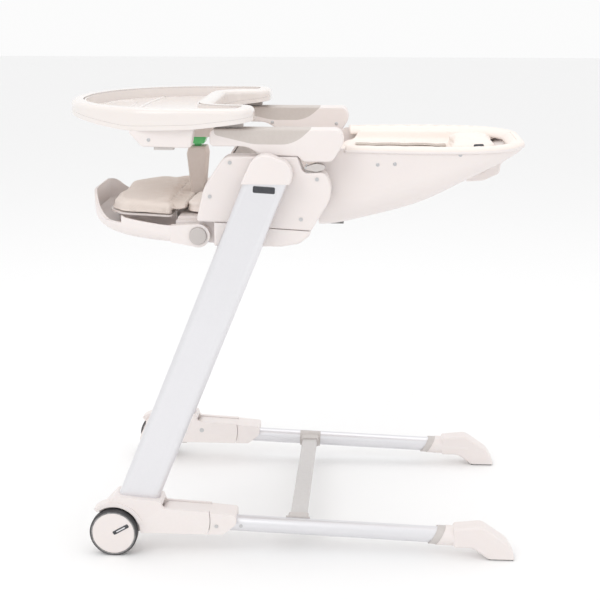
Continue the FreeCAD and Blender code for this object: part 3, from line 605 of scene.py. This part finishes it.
# ---- pieces ----
class PieceMaker:
    """What the operators share: each makes its part of the chair in make(scene)"""

    def execute(self, context):
        self.make(context.scene)
        return {"FINISHED"}


class HIGHCHAIR_OT_finishes(PieceMaker, bpy.types.Operator):
    """Give every moulded and metal part its finish"""
    bl_idname = "highchair.finishes"
    bl_label = "Finishes"

    def make(self, scene):
        made = finishes(scene)
        slots = {row["node"]: row["material_slot"] for row in frame["record"]["subparts"]}
        glossy = ("tray_body", "tray_base")
        for name, obj in NODES.items():
            finish = made["gloss_white" if name in glossy else slots[name]]
            obj.data.materials.clear()
            obj.data.materials.append(finish)


class HIGHCHAIR_OT_back_liner(PieceMaker, bpy.types.Operator):
    """Padded liner of the backrest, with bolsters and sewn channels"""
    bl_idname = "highchair.back_liner"
    bl_label = "Back liner"

    def make(self, scene):
        low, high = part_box("back_pad")
        liner = copy_of("back_pad", "back_liner", finishes(scene)["cream_fabric"], 0.0015)
        base = low[2] + 0.004
        inflated(liner, 0.005, lambda p: 1.0 if p.z > base else 0.0)
        relaxed(liner, 5)
        depth = scene.chair_soft.seam
        seams = [low[1] + (high[1] - low[1]) * t for t in (0.26, 0.44, 0.62)]

        def channels(point, normal):
            if normal.z < 0.1:
                return 0.0
            side = abs(point.x)
            cut = groove(side - BACK_SEAM_X, depth, 0.0028)
            if side < BACK_SEAM_X:
                cut += sum(groove(point.y - y, depth, 0.0028) for y in seams)
            crease = 0.0011 * ripple(point, 3.1, 34.0) if side > 0.10 else 0.0006 * ripple(point, 1.7, 30.0)
            return cut + crease

        carve(liner, channels)
        inside_box(liner, (-0.2, low[1] - 0.001, low[2]), (0.2, high[1] + 0.004, RIM_Z + 0.001))
        clear_of(liner, tree_of(NODES["backrest_shell"]), 0.0006)
        smoothed(liner)
        settle(liner, "backrest", "cream_fabric", "back_pad")


def rim_path(inward):
    """Points along the backrest's rim from its left front round the head to its right front."""
    walls = tree_of(NODES["backrest_shell"])
    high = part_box("backrest_shell")[1]
    stop = high[1] - 0.0006
    half = []
    for i in range(RIM_POINTS):
        y = RIM_START + (stop - RIM_START) * math.sin(math.pi / 2 * i / (RIM_POINTS - 1))
        hit = walls.ray_cast(Vector((0.3, y, RIM_Z - 0.004)), Vector((-1, 0, 0)))
        if hit[0]:
            half.append(Vector((hit[0].x - inward, min(y, high[1] - inward), RIM_Z)))
    return half + [Vector((-p.x, p.y, p.z)) for p in reversed(half)]


def geometry_group(name, start, sizes, material, result):
    """A geometry tree: a start shape, sizes and a material go in, a mesh comes out."""
    tree = bpy.data.node_groups.new(name, "GeometryNodeTree")
    face = tree.interface
    face.new_socket(start, in_out="INPUT", socket_type="NodeSocketGeometry")
    for label, value in sizes:
        socket = face.new_socket(label, in_out="INPUT", socket_type=FLOAT)
        socket.default_value = value
    face.new_socket(material, in_out="INPUT", socket_type="NodeSocketMaterial")
    face.new_socket(result, in_out="OUTPUT", socket_type="NodeSocketGeometry")
    return tree, tree.nodes.new("NodeGroupInput"), tree.nodes.new("NodeGroupOutput")


def hand_out(tree, instances, material, outs):
    """Makes the instances real, gives them their material and sends them out."""
    real = put(tree, "GeometryNodeRealizeInstances", [(0, instances)])
    painted = put(tree, "GeometryNodeSetMaterial", [(0, real.outputs[0]), ("Material", material)])
    tree.links.new(painted.outputs[0], outs.inputs[0])


def stitch_tree():
    """Stitches set at a pitch along a curve, as real faces."""
    sizes = (("Pitch", 0.0042), ("Thickness", 0.00035), ("Length", 0.0026))
    tree, ins, outs = geometry_group("Stitch row", "Path", sizes, "Thread", "Stitches")
    points = put(tree, "GeometryNodeCurveToPoints",
                 [("Curve", ins.outputs["Path"]), ("Length", ins.outputs["Pitch"])], mode="LENGTH")
    one = put(tree, "GeometryNodeMeshCylinder",
              [("Radius", ins.outputs["Thickness"]), ("Depth", ins.outputs["Length"])], vertices=6)
    turned = put(tree, "GeometryNodeInstanceOnPoints",
                 [("Points", points.outputs["Points"]), ("Instance", one.outputs["Mesh"])])
    lined = put(tree, "FunctionNodeAlignRotationToVector", [("Vector", points.outputs["Tangent"])], axis="Z")
    tree.links.new(lined.outputs[0], turned.inputs["Rotation"])
    hand_out(tree, turned.outputs[0], ins.outputs["Thread"], outs)
    return tree


def scatter_tree():
    """A domed head on each face of a mesh, turned to face along its normal."""
    sizes = (("Radius", 0.0034), ("Height", 0.0013))
    tree, ins, outs = geometry_group("Screw set", "Places", sizes, "Metal", "Screws")
    head = put(tree, "GeometryNodeMeshUVSphere", [("Radius", ins.outputs["Radius"])], segments=20, rings=10)
    squash = put(tree, "ShaderNodeMath", [(0, ins.outputs["Height"]), (1, ins.outputs["Radius"])],
                 operation="DIVIDE")
    flat = put(tree, "ShaderNodeCombineXYZ", [("Z", squash.outputs[0])], x=1.0, y=1.0)
    domed = put(tree, "GeometryNodeTransform",
                [("Geometry", head.outputs["Mesh"]), ("Scale", flat.outputs[0])])
    faces = put(tree, "GeometryNodeMeshToPoints", [("Mesh", ins.outputs["Places"])], mode="FACES")
    normal = put(tree, "GeometryNodeInputNormal")
    kept = put(tree, "GeometryNodeCaptureAttribute", [("Geometry", ins.outputs["Places"])], domain="FACE")
    kept.capture_items.new("VECTOR", "Facing")
    tree.links.new(normal.outputs[0], kept.inputs["Facing"])
    tree.links.new(kept.outputs["Geometry"], faces.inputs["Mesh"])
    lined = put(tree, "FunctionNodeAlignRotationToVector", [("Vector", kept.outputs["Facing"])], axis="Z")
    placed = put(tree, "GeometryNodeInstanceOnPoints",
                 [("Points", faces.outputs["Points"]), ("Instance", domed.outputs[0]),
                  ("Rotation", lined.outputs[0])])
    hand_out(tree, placed.outputs[0], ins.outputs["Metal"], outs)
    return tree


def grown(obj, tree, **values):
    """Runs a geometry tree on an object and keeps the plain mesh it gives."""
    mod = obj.modifiers.new("Made", "NODES")
    mod.node_group = tree
    for item in tree.interface.items_tree:
        if item.in_out == "INPUT" and item.name.lower() in values:
            mod[item.identifier] = values[item.name.lower()]
    mesh = evaluated_mesh(obj)
    name = obj.name
    bpy.data.objects.remove(obj)
    return added(name, mesh)


def stitched(name, paths, body, slot):
    """Rows of stitches along paths, as one piece on a body."""
    curve = bpy.data.curves.new(name, "CURVE")
    curve.dimensions = "3D"
    for path in paths:
        line = curve.splines.new("POLY")
        line.points.add(len(path) - 1)
        for point, place in zip(line.points, path):
            point.co = (*place, 1.0)
    tree = bpy.data.node_groups.get("Stitch row") or stitch_tree()
    made = grown(added(name, curve), tree, pitch=bpy.context.scene.chair_soft.stitch,
                 thread=finishes(bpy.context.scene)["thread"])
    settle(made, body, slot)


# (out, up) of the turned cover, from inside the rim over its top to the outside
ROLL_SECTION = ((-0.0270, -0.0130), (-0.0268, -0.0070), (-0.0230, -0.0010), (-0.0165, 0.0034),
                (-0.0105, 0.0054), (-0.0050, 0.0055), (-0.0005, 0.0043), (0.0017, 0.0018),
                (0.0024, -0.0008), (0.0021, -0.0026), (0.0010, -0.0036), (-0.0010, -0.0036),
                (-0.0120, -0.0090))


def swept(bm, path, section, wobble=0.0):
    """A closed section (out, up) carried along a level path, out pointing away from the middle."""
    rings = []
    for i, here in enumerate(path):
        run = path[min(i + 1, len(path) - 1)] - path[max(i - 1, 0)]
        out = run.cross(Vector((0, 0, 1))).normalized()
        if out.dot(Vector((here.x, here.y - 0.20, 0))) < 0:
            out.negate()
        swell = 1.0 + wobble * (math.sin(i * 0.9) + 0.6 * math.sin(i * 2.3 + 1.0))
        rings.append([here + out * a + Vector((0, 0, b * (swell if b > 0 else 1.0))) for a, b in section])
    loft(bm, rings)


class HIGHCHAIR_OT_rim_roll(PieceMaker, bpy.types.Operator):
    """Cover turned over the backrest's rim, with its piping and stitching"""
    bl_idname = "highchair.rim_roll"
    bl_label = "Rim roll"

    def make(self, scene):
        radius = scene.chair_soft.piping
        path = rim_path(0.0)
        bm = bmesh.new()
        swept(bm, path, ROLL_SECTION, 0.07)
        roll = to_object("rim_roll", bm, finishes(scene)["cream_fabric"])
        smoothed(roll)
        settle(roll, "backrest", "cream_fabric")
        bm = bmesh.new()
        turns = [math.pi * k / 5 for k in range(10)]
        section = [(0.0006 + radius * math.cos(a), PIPING_Z + radius * math.sin(a)) for a in turns]
        swept(bm, path, section)
        trim = to_object("rim_piping", bm, finishes(scene)["white_plastic"])
        settle(trim, "backrest", "white_plastic")
        thread = [p + Vector((0, 0, 0.0047)) for p in rim_path(0.0125)]
        stitched("rim_stitches", [thread], "backrest", "cream_fabric")
        bm = bmesh.new()
        along = Vector((-0.30, 1.0, 0.0)).normalized()
        across = Vector((-0.45, 0, 0.9)).normalized()
        centre = Vector((0.1500, 0.330, RIM_Z + 0.0045))
        rounded_plate(bm, centre, along, across, (0.019, 0.008), 0.0012, 0.003)
        tab = to_object("cover_tab", bm, finishes(scene)["badge"], smooth=False)
        settle(tab, "backrest", "beige_fabric")


class HIGHCHAIR_OT_gathered_cover(PieceMaker, bpy.types.Operator):
    """Gathered end of the leg rest cover, drawn in where it meets the seat"""
    bl_idname = "highchair.gathered_cover"
    bl_label = "Gathered cover"

    def make(self, scene):
        low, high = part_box("calf_pad")
        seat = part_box("seat_cushion")
        start = Vector((0, high[1] - 0.010, high[2] - 0.004))
        stop = Vector((0, seat[0][1] + 0.004, seat[1][2] - 0.010))
        rings = []
        across, rows = 181, 9
        for k in range(rows):
            t = k / (rows - 1)
            centre = start.lerp(stop, t)
            sag = 0.0035 * math.sin(math.pi * t)
            half = 0.160 - 0.006 * math.sin(math.pi * t)
            top, bottom = [], []
            for i in range(across):
                u = 2 * i / (across - 1) - 1
                fold = math.sin(math.pi * t) * 0.0034 + 0.0006
                pleat = fold * (math.sin(u * 62 + 2.0 * math.sin(u * 9)) + 0.4 * math.sin(u * 117 + t * 3))
                thick = 0.0040 * max(0.0, 1 - abs(u) ** 8) ** 0.5 + 0.0004
                place = centre + Vector((u * half, 0.0010 * math.sin(u * 40 + t * 5), -sag))
                top.append(place + Vector((0, 0, thick + pleat * 0.8)))
                bottom.append(place + Vector((0, 0, -thick + pleat * 0.4)))
            rings.append(top + list(reversed(bottom)))
        bm = bmesh.new()
        loft(bm, rings, closed="strips")
        cover = to_object("gathered_cover", bm, finishes(scene)["beige_fabric"])
        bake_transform(cover)


class HIGHCHAIR_OT_head_pillow(PieceMaker, bpy.types.Operator):
    """Puffed head pillow with a sewn edge"""
    bl_idname = "highchair.head_pillow"
    bl_label = "Head pillow"

    def make(self, scene):
        pillow = copy_of("headrest", "head_pillow", finishes(scene)["cream_fabric"], 0.002)
        low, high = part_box("headrest")
        middle = (low[2] + high[2]) / 2
        inflated(pillow, 0.007, lambda p: 1.0 if p.z > low[2] + 0.004 else 0.2)
        relaxed(pillow, 6)

        def edge(point, normal):
            flatness = 1.0 - abs(normal.z)
            seam = groove(point.z - middle, 0.003, 0.0022) * min(1.0, flatness * 2.0)
            button = groove(math.hypot(point.x, point.y - (low[1] + high[1]) / 2), 0.006, 0.012)
            return seam + (button if normal.z > 0.2 else 0.0) + 0.0007 * ripple(point, 5.0, 46.0)

        carve(pillow, edge)
        inside_box(pillow, (-0.11, low[1] - 0.004, low[2]), (0.11, high[1] + 0.004, RIM_Z + 0.004))
        smoothed(pillow)
        settle(pillow, "backrest", "cream_fabric", "headrest")


class HIGHCHAIR_OT_seat_pad(PieceMaker, bpy.types.Operator):
    """Seat pad with sewn channels"""
    bl_idname = "highchair.seat_pad"
    bl_label = "Seat pad"

    def make(self, scene):
        low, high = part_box("seat_cushion")
        pad = copy_of("seat_cushion", "seat_pad", finishes(scene)["cream_fabric"], 0.003)
        inflated(pad, 0.007, lambda p: 1.0 if p.z > low[2] + 0.006 else 0.3)
        relaxed(pad, 5)
        depth = scene.chair_soft.seam

        def channels(point, normal):
            seam = groove(point.z - (low[2] + high[2]) / 2, 0.0025, 0.002) * (1.0 - abs(normal.z))
            if normal.z < 0.1:
                return seam
            side = abs(point.x)
            seam += groove(side - SEAT_SEAM_X, depth, SEAM_WIDTH)
            if side < SEAT_SEAM_X:
                seam += sum(groove(point.y - y, depth, SEAM_WIDTH) for y in SEAT_SEAMS_Y)
            return seam + 0.0008 * ripple(point, 8.0, 34.0)

        carve(pad, channels)
        inside_box(pad, (-0.1625, low[1] - 0.002, low[2]), (0.1625, high[1] + 0.002, high[2] + 0.004))
        smoothed(pad)
        settle(pad, "seat", "cream_fabric", "seat_cushion")


class HIGHCHAIR_OT_lumbar_tongue(PieceMaker, bpy.types.Operator):
    """Padded tongue that joins the seat pad to the back liner"""
    bl_idname = "highchair.lumbar_tongue"
    bl_label = "Lumbar tongue"

    def make(self, scene):
        bm = bmesh.new()
        rings = []
        across = 29
        for k, (y, z) in enumerate(TONGUE_ROUTE):
            ahead = TONGUE_ROUTE[min(k + 1, len(TONGUE_ROUTE) - 1)]
            behind = TONGUE_ROUTE[max(k - 1, 0)]
            run = Vector((0, ahead[0] - behind[0], ahead[1] - behind[1])).normalized()
            out = Vector((0, -run.z, run.y))
            top, bottom = [], []
            for i in range(across):
                u = 2 * i / (across - 1) - 1
                x = u * 0.141
                thick = 0.0042 * (1 - abs(u) ** 6) ** 0.5 + 0.0006
                wave = 0.0010 * math.sin(9 * u + k)
                place = Vector((x, y, z))
                top.append(place + out * (thick + wave))
                bottom.append(place - out * thick)
            rings.append(top + list(reversed(bottom)))
        loft(bm, rings, closed="strips")
        tongue = to_object("lumbar_tongue", bm, finishes(scene)["cream_fabric"])
        smoothed(tongue, 2)
        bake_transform(tongue)


class HIGHCHAIR_OT_leg_rest_pad(PieceMaker, bpy.types.Operator):
    """Loose woven cover of the leg rest, gathered at its hinge"""
    bl_idname = "highchair.leg_rest_pad"
    bl_label = "Leg rest pad"

    def make(self, scene):
        low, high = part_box("calf_pad")
        pad = copy_of("calf_pad", "leg_rest_pad", finishes(scene)["beige_fabric"], 0.002)
        inflated(pad, 0.006, lambda p: 1.0 if p.z > low[2] + 0.005 else 0.3)
        relaxed(pad, 4)

        def gathers(point, normal):
            seam = groove(point.z - low[2] - 0.006, 0.0028, 0.002) * (1.0 - abs(normal.z))
            near = max(0.0, 1.0 - (high[1] - point.y) / 0.060)
            ruffle = 0.0042 * near ** 1.5 * (math.sin(point.x * 210 + 3 * math.sin(point.y * 60))
                                             + 0.5 * math.sin(point.x * 390 + point.y * 90))
            crease = 0.0016 * ripple(point, 2.0, 30.0)
            top = 1.0 if normal.z > 0.05 else 0.25
            return seam + (ruffle + crease) * top

        carve(pad, gathers)
        inside_box(pad, (low[0] - 0.002, low[1] - 0.002, low[2]),
                   (high[0] + 0.002, high[1] + 0.004, high[2] + 0.008))
        smoothed(pad)
        settle(pad, "footrest", "beige_fabric", "calf_pad")


def evened(points, rounds=4):
    """A line of points with its kinks smoothed out and its ends kept."""
    for _ in range(rounds):
        inner = [(a + b * 2 + c) / 4 for a, b, c in zip(points, points[1:], points[2:])]
        points = [points[0], *inner, points[-1]]
    return points


def webbing_strip(bm, points, width, across):
    """A flat woven strap along points."""
    rings = []
    for i, here in enumerate(points):
        ahead = points[min(i + 1, len(points) - 1)]
        behind = points[max(i - 1, 0)]
        run = (ahead - behind).normalized()
        up = across.cross(run).normalized()
        if up.z < 0:
            up.negate()
        rings.append([here + across * u * width / 2 + up * lift * WEBBING_THICK
                      for u, lift in WEBBING_SECTION])
    loft(bm, rings)


class HIGHCHAIR_OT_harness(PieceMaker, bpy.types.Operator):
    """Shoulder and waist webbing laid on the padding"""
    bl_idname = "highchair.harness"
    bl_label = "Harness"

    def make(self, scene):
        mat = finishes(scene)["webbing"]
        liner = tree_of(bpy.data.objects["back_liner"])
        low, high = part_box("shoulder_straps")
        middle, width = (high[0] + STRAP_INNER) / 2, high[0] - STRAP_INNER
        bm = bmesh.new()
        rows = []
        for side in (-1, 1):
            points = []
            for i in range(40):
                t = i / 39
                y = high[1] + (low[1] - high[1]) * t
                x = side * (middle + 0.006 * math.sin(t * 2.6))
                z = drop(liner, x, y, RIM_Z) or PAD_TOP
                points.append(Vector((x, y, z)))
            points = [p + Vector((0, 0, WEBBING_LIFT)) for p in evened(points)]
            webbing_strip(bm, points, width, Vector((1, 0, 0)))
            for edge in (-1, 1):
                rows.append([p + Vector((edge * width * 0.36, 0, 0.0016)) for p in points])
        straps = to_object("shoulder_webbing", bm, mat)
        settle(straps, "backrest", "beige_fabric", "shoulder_straps")
        stitched("shoulder_stitches", rows, "backrest", "beige_fabric")

        low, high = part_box("waist_straps")
        pad = tree_of(bpy.data.objects["seat_pad"])
        middle, width = (low[1] + high[1]) / 2, high[1] - low[1]
        bm = bmesh.new()
        for side in (-1, 1):
            points = []
            for i in range(30):
                x = side * (BUCKLE_EDGE + (high[0] - BUCKLE_EDGE) * i / 29)
                z = drop(pad, x, middle, high[2] + 0.05) or high[2]
                points.append(Vector((x, middle, max(z, low[2] - 0.004) + WEBBING_LIFT)))
            webbing_strip(bm, evened(points), width, Vector((0, 1, 0)))
        straps = to_object("waist_webbing", bm, mat)
        settle(straps, "seat", "beige_fabric", "waist_straps")


class HIGHCHAIR_OT_insert_relief(PieceMaker, bpy.types.Operator):
    """Raised ridge, cup ring and front recess of the tray insert"""
    bl_idname = "highchair.insert_relief"
    bl_label = "Tray insert relief"

    def make(self, scene):
        mat = finishes(scene)["gloss_white"]
        z = TRAY_FLOOR - 0.0004
        bm = bmesh.new()
        ridge = []
        for i in range(41):
            u = 2 * i / 40 - 1
            ridge.append(Vector((u * 0.176, -0.292 + 0.012 * u * u, z)))
        tube_along(bm, ridge, 0.0045, 12, flat=0.75)
        ring = []
        for i in range(48):
            turn = 2 * math.pi * i / 48
            ring.append(Vector((0.118 + 0.036 * math.cos(turn), -0.226 + 0.036 * math.sin(turn), z)))
        tube_along(bm, ring, 0.0026, 10, loop=True, flat=0.8)
        front = []
        for i in range(64):
            turn = 2 * math.pi * i / 64
            a = math.copysign(abs(math.cos(turn)) ** 0.6, math.cos(turn))
            b = math.copysign(abs(math.sin(turn)) ** 0.7, math.sin(turn))
            front.append(Vector((0.098 * a, -0.342 + 0.028 * b, z)))
        tube_along(bm, front, 0.0024, 10, loop=True, flat=0.8)
        relief = to_object("insert_relief", bm, mat)
        settle(relief, "tray_insert", "gloss_white")


class HIGHCHAIR_OT_badges(PieceMaker, bpy.types.Operator):
    """Plain dark plates on the legs and wheels"""
    bl_idname = "highchair.badges"
    bl_label = "Badges"

    def make(self, scene):
        made = finishes(scene)
        leg_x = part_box("leg_left")[1][0]
        hub_low, hub_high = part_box("wheel_hub_left")
        hub_y, hub_z = ((hub_low[k] + hub_high[k]) / 2 for k in (1, 2))
        for side, name in ((1, "left"), (-1, "right")):
            along = Vector((0, math.cos(-0.06), math.sin(-0.06)))
            across = Vector((0, -along.z, along.y))
            if side < 0:
                along = -along
            centre = Vector((side * (leg_x - 0.0002), -0.0415, 0.6785))
            for label, size, thick, finish in (("edge", (0.0405, 0.0138), 0.0008, "badge_edge"),
                                               ("plate", (0.0385, 0.0120), 0.0012, "badge")):
                bm = bmesh.new()
                rounded_plate(bm, centre, along, across, size, thick, 0.0028)
                settle(to_object("leg_badge_%s_%s" % (label, name), bm, made[finish], smooth=False),
                       "leg_frame", "white_plastic")
            turn = math.radians(30)
            along = Vector((0, math.cos(turn), math.sin(turn)))
            across = Vector((0, -along.z, along.y))
            middle = Vector((side * hub_high[0], hub_y, hub_z)) + along * 0.0165
            if side < 0:
                along = -along
            for label, size, lift, finish in (("rim", (0.0325, 0.0072), -0.0002, "badge"),
                                              ("core", (0.0185, 0.0022), 0.0007, "badge_edge")):
                bm = bmesh.new()
                centre = middle + Vector((side * lift, 0, 0))
                rounded_plate(bm, centre, along, across, size, 0.0010 if lift < 0 else 0.0005, size[1] * 0.3)
                settle(to_object("wheel_badge_%s_%s" % (label, name), bm, made[finish], smooth=False),
                       "wheel_" + name, "white_plastic")


class HIGHCHAIR_OT_small_screws(PieceMaker, bpy.types.Operator):
    """Domed screws and rivets, one set for each body that carries them"""
    bl_idname = "highchair.small_screws"
    bl_label = "Small screws"

    def make(self, scene):
        arm_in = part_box("armrests")[1][0] - 0.0437
        shell = tree_of(NODES["backrest_shell"])
        sets = {"seat": [], "backrest": [], "tray": []}
        for side in (-1, 1):
            for y, z in ((-0.060, 0.747), (0.069, 0.745)):
                sets["seat"].append(((side * arm_in, y, z), (-side, 0, 0)))
            for y, z in ((0.153, 0.712), (0.183, 0.714), (0.297, 0.731)):
                hit = shell.ray_cast(Vector((side * 0.4, y, z)), Vector((-side, 0, 0)))
                if hit[0]:
                    sets["backrest"].append((tuple(hit[0]), tuple(hit[1])))
            sets["tray"].append(((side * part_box("tray_brackets")[1][0], -0.243, 0.760), (side, 0, 0)))
        tree = scatter_tree()
        for body, places in sets.items():
            bm = bmesh.new()
            for place, normal in places:
                normal = Vector(normal)
                side = normal.orthogonal().normalized() * 1e-5
                other = normal.cross(side)
                here = Vector(place)
                bm.faces.new([bm.verts.new(p) for p in (here + side, here + other, here - side)])
            points = to_object("screws_" + body, bm, finishes(scene)["steel"], clean=False)
            made = grown(points, tree, radius=scene.chair_metal.screw_radius, metal=finishes(scene)["steel"])
            settle(made, body, "steel")


class HIGHCHAIR_OT_stage(PieceMaker, bpy.types.Operator):
    """Pale floor, soft lights and the camera"""
    bl_idname = "highchair.stage"
    bl_label = "Stage"

    def make(self, scene):
        bm = bmesh.new()
        bmesh.ops.create_grid(bm, x_segments=2, y_segments=2, size=14.0)
        mat, tree, shader = start_material("Studio floor")
        shader.inputs["Base Color"].default_value = rgba(scene.chair_stage.floor)
        shader.inputs["Roughness"].default_value = 0.9
        floor = to_object("studio_floor", bm, mat)
        world = bpy.data.worlds.new("Studio")
        world.use_nodes = True
        backdrop = world.node_tree.nodes["Background"]
        backdrop.inputs[0].default_value = (1.0, 1.0, 1.0, 1.0)
        backdrop.inputs[1].default_value = 0.97
        scene.world = world
        for name, place, aim, size, power in LAMPS:
            light = bpy.data.lights.new(name, "AREA")
            light.size = size
            light.energy = power
            lamp = added(name, light)
            lamp.location = place
            lamp.rotation_euler = (Vector(aim) - Vector(place)).to_track_quat("-Z", "Y").to_euler()
        lens = bpy.data.cameras.new("Camera")
        lens.lens = scene.chair_stage.lens
        lens.sensor_width = 36.0
        camera = added("Camera", lens)
        camera.location = CAMERA_PLACE
        camera.rotation_euler = Vector(CAMERA_AIM).to_track_quat("-Z", "Y").to_euler()
        scene.camera = camera
        scene.view_settings.view_transform = "Standard"


class HIGHCHAIR_PT_panel(bpy.types.Panel):
    """Lists the chair's sizes, colours and pieces"""
    bl_idname = "HIGHCHAIR_PT_panel"
    bl_label = "High Chair"
    bl_space_type = "VIEW_3D"
    bl_region_type = "UI"
    bl_category = "High Chair"

    def draw(self, context):
        layout = self.layout
        for group in (context.scene.chair_shell, context.scene.chair_metal, context.scene.chair_soft,
                      context.scene.chair_stage):
            box = layout.box()
            for key in group.bl_rna.properties.keys():
                if key not in ("rna_type", "name"):
                    box.prop(group, key)
        for piece in OPERATORS:
            layout.operator(piece.bl_idname)


SETTINGS = (("chair_shell", ShellSettings), ("chair_metal", MetalSettings), ("chair_soft", SoftSettings),
            ("chair_stage", StageSettings))
OPERATORS = (HIGHCHAIR_OT_stage, HIGHCHAIR_OT_finishes, HIGHCHAIR_OT_back_liner, HIGHCHAIR_OT_rim_roll,
             HIGHCHAIR_OT_head_pillow, HIGHCHAIR_OT_seat_pad, HIGHCHAIR_OT_lumbar_tongue,
             HIGHCHAIR_OT_leg_rest_pad, HIGHCHAIR_OT_gathered_cover, HIGHCHAIR_OT_harness,
             HIGHCHAIR_OT_insert_relief, HIGHCHAIR_OT_badges, HIGHCHAIR_OT_small_screws)


def register():
    for name, group in SETTINGS:
        bpy.utils.register_class(group)
        setattr(bpy.types.Scene, name, bpy.props.PointerProperty(type=group))
    for piece in OPERATORS + (HIGHCHAIR_PT_panel,):
        bpy.utils.register_class(piece)


def unregister():
    for piece in reversed(OPERATORS + (HIGHCHAIR_PT_panel,)):
        bpy.utils.unregister_class(piece)
    for name, group in reversed(SETTINGS):
        delattr(bpy.types.Scene, name)
        bpy.utils.unregister_class(group)


def main():
    register()
    for piece in OPERATORS:
        family, name = piece.bl_idname.split(".")
        getattr(getattr(bpy.ops, family), name)()


if __name__ == "__main__":
    main()
